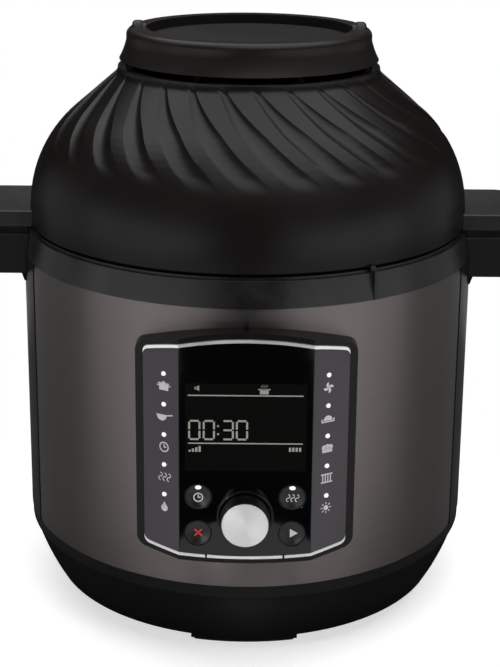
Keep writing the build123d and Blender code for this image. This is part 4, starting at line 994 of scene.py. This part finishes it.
class COOKER_OT_prints(bpy.types.Operator):
    """Pictograms on the wings and keys, and the lit figures of the display on its window"""
    bl_idname = "cooker.prints"
    bl_label = "Panel prints"

    def execute(self, context):
        place, made = context.scene.cooker_panel, finishes()
        self.wings(place, made)
        self.keys(place, made)
        self.display(made)
        return {"FINISHED"}

    def wings(self, place, made):
        """A mark under each lamp, on the swept face of its wing."""
        low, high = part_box("indicator_lenses")
        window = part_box("display_window")
        sweep = math.atan2(place.wing_back, place.wing_w)
        across = high.x - place.lamp_r
        face = window[0].y + (across - window[1].x) * math.tan(sweep)
        for side, sense in (("left", -1), ("right", 1)):
            marks = WING_MARKS[side]
            pitch = (high.z - low.z - 2 * place.lamp_r) / (len(marks) - 1)
            for row, draw in enumerate(marks):
                at = (sense * across, face, high.z - place.lamp_r - row * pitch - place.mark_drop)
                name = f"{side}_mark_{row + 1}"
                deselect()
                set_mark(name, draw(), at, sense * sweep, "cooker", made["print"], WING_INK)

    def keys(self, place, made):
        """A mark in the dish of each key, and a lamp above it on two of them."""
        for name, (draw, ink, has_lamp) in KEY_MARKS.items():
            low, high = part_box(name + "_key")
            middle = Vector(((low.x + high.x) / 2, low.y + place.key_dish, (low.z + high.z) / 2))
            deselect()
            set_mark(name + "_mark", draw(), middle, 0, name + "_button", made[ink], KEY_INK)
            if has_lamp:
                at = middle + Vector((0, -place.key_dish, place.key_lamp_rise))
                lamp = flat_disc(0, 0, 1)
                lamp.scale = KEY_LAMP_SIZE
                set_mark(name + "_lamp", [lamp], at, 0, name + "_button", made["lamp"], KEY_LAMP_INK)

    def display(self, made):
        """Two rules, the time, a speaker, a steaming pot and two gauges."""
        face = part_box("display_window")[0].y
        deselect()
        shapes = [flat_bar(RULE_X, z, RULE_W, RULE_T) for z in RULES_Z]
        for symbol, x in FIGURES:
            shapes += digit(symbol, x)
        shapes += [flat_bar(COLON_X, z, COLON_W, COLON_W) for z in COLON_Z]
        shapes += [flat_bar(SPEAKER_X, SPEAKER_Z, 1.4, 1.6),
                   flat_disc(SPEAKER_X + 1.1, SPEAKER_Z, 2.0, 3, -90)]
        shapes += [flat_bar(POT_X, POT_Z, 5.2, 3.2), flat_bar(POT_X, POT_Z + 1.4, 7.2, 0.8)]
        shapes += steam(POT_X, POT_Z + 3.4, 0.55, 1.4)
        for step in range(GAUGE_COUNT):
            rise = RISING_STEP * step
            shapes.append(flat_bar(
                RISING_X + GAUGE_PITCH * step, RISING_Z + rise / 2, GAUGE_W, RISING_H + rise))
        for step in range(GAUGE_COUNT):
            shapes.append(flat_bar(FULL_X + GAUGE_PITCH * step, FULL_Z, GAUGE_W, FULL_H))
        set_mark("display_figures", shapes, (0, face, 0), 0, "cooker", made["digit"], DISPLAY_INK)


# The fluted dome, spun from its section

# Steps on a large and on a small rounded corner, and the radius that parts them
LARGE_STEPS, SMALL_STEPS = 14, 3
SMALL_ROUND = 2 * MM
LIP_ROUND, FOOT_ROUND, NECK_ROUND = 0.4 * MM, 0.8 * MM, 0.7 * MM

# Columns of the mesh to a flute, the longest rows on the flutes, on the inner skin and on the plain wall, and
# how far the short rows go down, as a factor of the run of the flutes
FLUTE_COLUMNS = 20
FLUTE_ROW, INNER_ROW, PLAIN_ROW = 1 * MM, 5 * MM, 20 * MM
ROW_MARGIN = 1.05

# A flute opens to its full width over this share of its run, starting from this share of the width
MOUTH_RUN = 0.45
MOUTH_WIDTH = 0.3

# It sinks towards the axis at this angle from straight down
SINK_ANGLE = math.radians(50)

# The skins are parted this many wall thicknesses inside the line of wall and cone
SKIN_SHARE = 1.15

# Edges of the dome that are sharper than this stay sharp in the shading
DOME_SHARP = math.radians(24)


def rounded(corners):
    """Points of a half section whose corners (radius, height, round) are rounded."""
    points = []
    for index, (x, z, radius) in enumerate(corners):
        here = Vector((x, z))
        if not radius:
            points.append(here)
            continue
        back = (Vector(corners[index - 1][:2]) - here).normalized()
        on = (Vector(corners[(index + 1) % len(corners)][:2]) - here).normalized()
        half = back.angle(on) / 2
        middle = here + (back + on).normalized() * (radius / math.sin(half))
        first = (here + back * (radius / math.tan(half)) - middle).normalized()
        last = (here + on * (radius / math.tan(half)) - middle).normalized()
        count = LARGE_STEPS if radius > SMALL_ROUND else SMALL_STEPS
        points += [middle + first.slerp(last, step / count) * radius for step in range(count + 1)]
    return points


def divide(points, longest):
    """Adds points so that no run of a closed outline is longer than a length given by its middle."""
    filled = []
    for index, start in enumerate(points):
        end = points[(index + 1) % len(points)]
        count = max(1, math.ceil((end - start).length / longest((start + end) / 2)))
        filled += [start.lerp(end, step / count) for step in range(count)]
    return filled


def spun(name, outline, steps):
    """Spins a closed half section about Z into a mesh."""
    deselect()
    bpy.ops.mesh.primitive_circle_add(vertices=len(outline), radius=1)
    obj = bpy.context.object
    obj.name = name
    for vertex, point in zip(obj.data.vertices, outline):
        vertex.co = (point.x, 0, point.y)
    turning = obj.modifiers.new("turning", "SCREW")
    turning.steps = turning.render_steps = steps
    turning.use_merge_vertices = True
    apply_all(obj)
    return edit(obj, lambda: bpy.ops.mesh.normals_make_consistent(inside=False))


def clamp(value):
    """A value held between 0 and 1."""
    return max(0.0, min(1.0, value))


class COOKER_OT_dome(bpy.types.Operator):
    """Fluted dome of the lid with its two grips"""
    bl_idname = "cooker.dome"
    bl_label = "Lid dome"

    def execute(self, context):
        look, made = context.scene.cooker_finish, finishes()
        dome = self.shell(context.scene.cooker_dome)
        smooth(dome, DOME_SHARP)
        settle(dome, "lid", made["lid"], "lid_black", "lid_dome")
        for side in ("right", "left"):
            refine("lid_handle_" + side, made["rim"], look.edge / 2)
        refine("lid_plug", made["base"], look.fine_edge)
        return {"FINISHED"}

    def shell(self, size):
        """The shell spun from its section, then twisted and scooped row by row."""
        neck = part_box("lid_dome")[1].z
        foot = neck - size.height
        fluted = neck - size.flute_top - size.flute_run * ROW_MARGIN

        def longest(middle):
            """Short rows where the flutes are, longer ones inside and on the plain wall."""
            if middle.y < fluted:
                return PLAIN_ROW
            return FLUTE_ROW if middle.x > self.inner_limit(middle.y, size, foot) else INNER_ROW

        rows = divide(self.section(size, neck, foot), longest)
        dome = spun("lid_dome_shown", rows, size.flutes * FLUTE_COLUMNS)
        for vertex in dome.data.vertices:
            vertex.co = self.scooped(vertex.co, size, neck, foot)
        return dome

    def section(self, size, neck, foot):
        """Half section of the plain shell: up the outside from the lip to the neck, and down the inside."""
        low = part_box("lid_dome")[0].z
        lip_r = size.foot_r - size.lip_in
        lip_in_r = lip_r - size.lip_t
        lip_top = foot + size.lip_rise
        corner = (size.corner_r, foot + size.corner_rise)
        shoulder = neck - size.neck_drop
        neck_in_r = size.neck_r - size.wall
        lean = Vector((size.neck_r, shoulder)) - Vector(corner)
        drop = size.wall * math.tan(lean.angle(Vector((0, 1))) / 2)
        return rounded([
            (lip_in_r, low, LIP_ROUND), (lip_r, low, LIP_ROUND),
            (lip_r, foot, 0), (size.foot_r, foot, FOOT_ROUND),
            (*corner, size.shoulder_r), (size.neck_r, shoulder, size.neck_fillet),
            (size.neck_r, neck, NECK_ROUND), (neck_in_r, neck, NECK_ROUND),
            (neck_in_r, shoulder - drop, size.neck_fillet + size.wall),
            (size.corner_r - size.wall, corner[1] - drop, size.shoulder_r - size.wall),
            (size.foot_r - size.wall, lip_top, 0), (lip_in_r, lip_top, 0),
        ])

    def scooped(self, point, size, neck, foot):
        """A point of the plain shell, turned along the flutes and sunk into its own one."""
        share = (neck - size.flute_top - point.z) / size.flute_run
        bearing = size.twist * clamp(share) + size.start
        reach = math.hypot(point.x, point.y)
        outer = reach > self.inner_limit(point.z, size, foot)
        if not outer or not 0 < share < 1:
            return Matrix.Rotation(bearing, 3, "Z") @ point
        across = 2 * ((math.atan2(point.y, point.x) * size.flutes / math.tau) % 1) - 1
        mouth = clamp(share / MOUTH_RUN)
        tip = clamp((share - MOUTH_RUN) / (1 - MOUTH_RUN))
        edge = size.flute_share
        width = edge * (MOUTH_WIDTH + (1 - MOUTH_WIDTH) * mouth)
        if abs(across) < edge:
            moved = across * width / edge
        else:
            moved = math.copysign(width + (abs(across) - edge) * (1 - width) / (1 - edge), across)
        sink = size.flute_depth * mouth * (2 - mouth) * max(0.0, 1 - (across / edge)**2) * (1 - tip**2)
        level = -math.sin(SINK_ANGLE) / reach
        inward = Vector((point.x * level, point.y * level, -math.cos(SINK_ANGLE)))
        bearing += (moved - across) * math.pi / size.flutes
        return Matrix.Rotation(bearing, 3, "Z") @ (point + inward * sink)

    def inner_limit(self, height, size, foot):
        """Radius that parts the outer skin from the inner one at a height."""
        share = (height - foot - size.corner_rise) / (size.height - size.corner_rise - size.neck_drop)
        cone = size.corner_r + (size.neck_r - size.corner_r) * clamp(share)
        return cone - size.wall * SKIN_SHARE


# The studio, in metres

# Upright cards on each side: name, azimuth from the front in degrees, distance, height, size and radiance
SIDE_CARDS = (
    ("front", 36, 1.25, 0.22, (0.81, 0.45), 1.7),
    ("middle", 66, 1.25, 0.22, (0.62, 0.45), 1.25),
    ("side", 98, 1.25, 0.20, (1.3, 0.5), 0.40),
    ("upper_front", 40, 1.30, 0.95, (1.2, 0.8), 0.15),
    ("upper_side", 85, 1.30, 0.75, (1.2, 1.0), 0.12),
)

# Cards that lie on the floor on each side: name, place across and along, size and radiance
FLOOR_CARDS = (
    ("floor_front", (0.485, -0.55), (0.83, 0.7), 0.72),
    ("floor_side", (0.55, 0.2), (0.7, 0.8), 0.14),
)

# Floor cards lie this far above the worktop, and the floor disc this far below it
CARD_LIFT, FLOOR_DROP = 2 * MM, 0.3 * MM
FLOOR_R = 0.7

# Point that the two lights overhead face
AIM = (0, 0, 0.3)

# Soft edge, radius of the source and spare width of the narrow light
SNOOT_BLEND, SNOOT_SOFTNESS, SNOOT_MARGIN = 0.3, 0.05, 1.1

# Width of the camera's sensor in millimetres
SENSOR_W = 36


def area_light(name, place, target, size, radiance, shape="RECTANGLE"):
    """A softbox of even radiance that faces a point, unseen by the camera."""
    bpy.ops.object.light_add(type="AREA", location=place)
    lamp = bpy.context.object
    lamp.name = name
    lamp.data.shape = shape
    lamp.data.size, lamp.data.size_y = size
    lamp.data.energy = radiance * math.pi * size[0] * size[1]
    lamp.visible_camera = False
    lamp.rotation_euler = (Vector(target) - Vector(place)).to_track_quat("-Z", "Y").to_euler()
    return lamp


def upright_card(name, azimuth, distance, height, size, radiance):
    """An upright card at an azimuth from the front, facing the cooker."""
    bearing = math.radians(azimuth)
    place = (distance * math.sin(bearing), -distance * math.cos(bearing), height)
    area_light(name, place, (0, 0, height), size, radiance)


def floor_card(name, place, size, radiance, shape="RECTANGLE"):
    """A card that lies on the floor and faces up."""
    lamp = area_light(name, (*place, CARD_LIFT), (*place, 1), size, radiance, shape)
    lamp.rotation_euler = (math.pi, 0, 0)


def snoot(name, place, box, power):
    """A narrow light on one piece."""
    bpy.ops.object.light_add(type="SPOT", location=place)
    lamp = bpy.context.object
    lamp.name = name
    reach = (box[0] + box[1]) / 2 - Vector(place)
    half = math.atan2(box[1].x - box[0].x, 2 * reach.length)
    lamp.data.energy = power
    lamp.data.spot_size = 2 * SNOOT_MARGIN * half
    lamp.data.spot_blend = SNOOT_BLEND
    lamp.data.shadow_soft_size = SNOOT_SOFTNESS
    lamp.visible_camera = False
    lamp.rotation_euler = reach.to_track_quat("-Z", "Y").to_euler()


class COOKER_OT_stage(bpy.types.Operator):
    """Pale floor, soft studio light and the camera"""
    bl_idname = "cooker.stage"
    bl_label = "Stage"

    def execute(self, context):
        scene = context.scene
        view = scene.cooker_stage
        scene.view_settings.view_transform = "Standard"
        self.floor(view)
        self.world(scene, view)
        self.lights()
        self.camera(scene, view)
        return {"FINISHED"}

    def floor(self, view):
        """A pale disc that fades into the backdrop, seen by the camera alone, and only from above."""
        material, tree, shader, coords = start_material(
            "Floor pale", Roughness=0.95, Specular_IOR_Level=0.0, Emission_Color=(1, 1, 1, 1),
            Emission_Strength=view.floor_glow)
        cloud = place_group(tree, "haze", coords, Size=3.0)
        tone = view.floor_tone
        tint(tree, cloud.outputs["Haze"], shade(tone, 0.99), tone, shader.inputs["Base Color"])
        reach = node(tree, "ShaderNodeVectorMath", operation="LENGTH")
        fade = node(tree, "ShaderNodeMapRange", interpolation_type="SMOOTHSTEP", From_Min=view.floor_near,
                    From_Max=view.floor_far, To_Min=1.0, To_Max=0.0)
        side = node(tree, "ShaderNodeNewGeometry")
        above = node(tree, "ShaderNodeMath", operation="SUBTRACT", use_clamp=True)
        tree.links.new(coords.outputs["Object"], reach.inputs[0])
        tree.links.new(reach.outputs["Value"], fade.inputs["Value"])
        tree.links.new(fade.outputs[0], above.inputs[0])
        tree.links.new(side.outputs["Backfacing"], above.inputs[1])
        tree.links.new(above.outputs[0], shader.inputs["Alpha"])
        deselect()
        bpy.ops.mesh.primitive_circle_add(
            vertices=96, radius=FLOOR_R, fill_type="NGON", location=(0, 0, -FLOOR_DROP))
        disc = bpy.context.object
        disc.name = "floor_disc"
        disc.data.materials.append(material)
        disc.visible_glossy = disc.visible_diffuse = False

    def world(self, scene, view):
        """A white backdrop for the camera and a dim room for everything else."""
        scene.world = bpy.data.worlds.new("Studio room")
        scene.world.use_nodes = True
        tree = scene.world.node_tree
        tree.nodes.clear()
        seen = node(tree, "ShaderNodeBackground", Color=(1, 1, 1, 1), Strength=view.backdrop)
        room = node(tree, "ShaderNodeBackground", Color=(1, 1, 1, 1), Strength=view.fill)
        path = node(tree, "ShaderNodeLightPath")
        mix = node(tree, "ShaderNodeMixShader")
        out = node(tree, "ShaderNodeOutputWorld")
        tree.links.new(path.outputs["Is Camera Ray"], mix.inputs["Fac"])
        tree.links.new(room.outputs[0], mix.inputs[1])
        tree.links.new(seen.outputs[0], mix.inputs[2])
        tree.links.new(mix.outputs[0], out.inputs["Surface"])

    def lights(self):
        """Dim cards on both sides with a dark gap at the camera, and light from above, behind and below."""
        deselect()
        for side, sense in (("left", -1), ("right", 1)):
            for name, azimuth, *rest in SIDE_CARDS:
                upright_card(f"{name}_{side}", sense * azimuth, *rest)
            for name, (across, along), *rest in FLOOR_CARDS:
                floor_card(f"{name}_{side}", (sense * across, along), *rest)
        area_light("overhead", (0.05, 0.10, 1.55), AIM, (2.6, 1.7), 2.6)
        area_light("front_top", (0, -0.75, 1.30), AIM, (0.9, 0.4), 1.9)
        upright_card("rear", 180, 1.25, 0.22, (0.8, 0.45), 0.9)
        floor_card("floor_rear", (0, 0.80), (1.4, 0.7), 0.5)
        snoot("dial_light", (-0.14, -0.70, 0.03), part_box("dial_cap"), 8.5)
        floor_card("window_card", (0, -0.27), (0.13, 0.22), 0.55, "ELLIPSE")

    def camera(self, scene, view):
        """The camera, placed as the photograph's was."""
        bpy.ops.object.camera_add(location=view.eye, rotation=(view.pitch, 0, 0))
        camera = bpy.context.object
        camera.rotation_euler.rotate_axis("Z", view.roll)
        camera.data.lens = view.lens
        camera.data.sensor_width = SENSOR_W
        camera.data.shift_x, camera.data.shift_y = view.shift
        scene.camera = camera


# Add-on

PIECES = (
    COOKER_OT_base, COOKER_OT_wall, COOKER_OT_rim, COOKER_OT_well, COOKER_OT_electronics, COOKER_OT_panel,
    COOKER_OT_dial, COOKER_OT_keys, COOKER_OT_prints, COOKER_OT_dome, COOKER_OT_collar, COOKER_OT_hot_air,
    COOKER_OT_drip_cup, COOKER_OT_stage,
)
SETTINGS = {
    "cooker_finish": CookerFinish, "cooker_dome": CookerDome, "cooker_panel": CookerPanel,
    "cooker_stage": CookerStage,
}


class COOKER_PT_sidebar(bpy.types.Panel):
    """Lists the pieces and their settings"""
    bl_idname = "COOKER_PT_sidebar"
    bl_label = "Pressure Cooker"
    bl_space_type = "VIEW_3D"
    bl_region_type = "UI"
    bl_category = "Cooker"

    def draw(self, context):
        for piece in PIECES:
            self.layout.operator(piece.bl_idname)
        for group in SETTINGS:
            settings = getattr(context.scene, group)
            for name in settings.__annotations__:
                self.layout.prop(settings, name)


CLASSES = (*SETTINGS.values(), *PIECES, COOKER_PT_sidebar)


def register():
    for made in CLASSES:
        bpy.utils.register_class(made)
    for name, settings in SETTINGS.items():
        setattr(bpy.types.Scene, name, bpy.props.PointerProperty(type=settings))


def unregister():
    for name in SETTINGS:
        delattr(bpy.types.Scene, name)
    for made in reversed(CLASSES):
        bpy.utils.unregister_class(made)


def main():
    register()
    for piece in PIECES:
        group, name = piece.bl_idname.split(".")
        getattr(getattr(bpy.ops, group), name)()
    deselect()


if __name__ == "__main__":
    main()
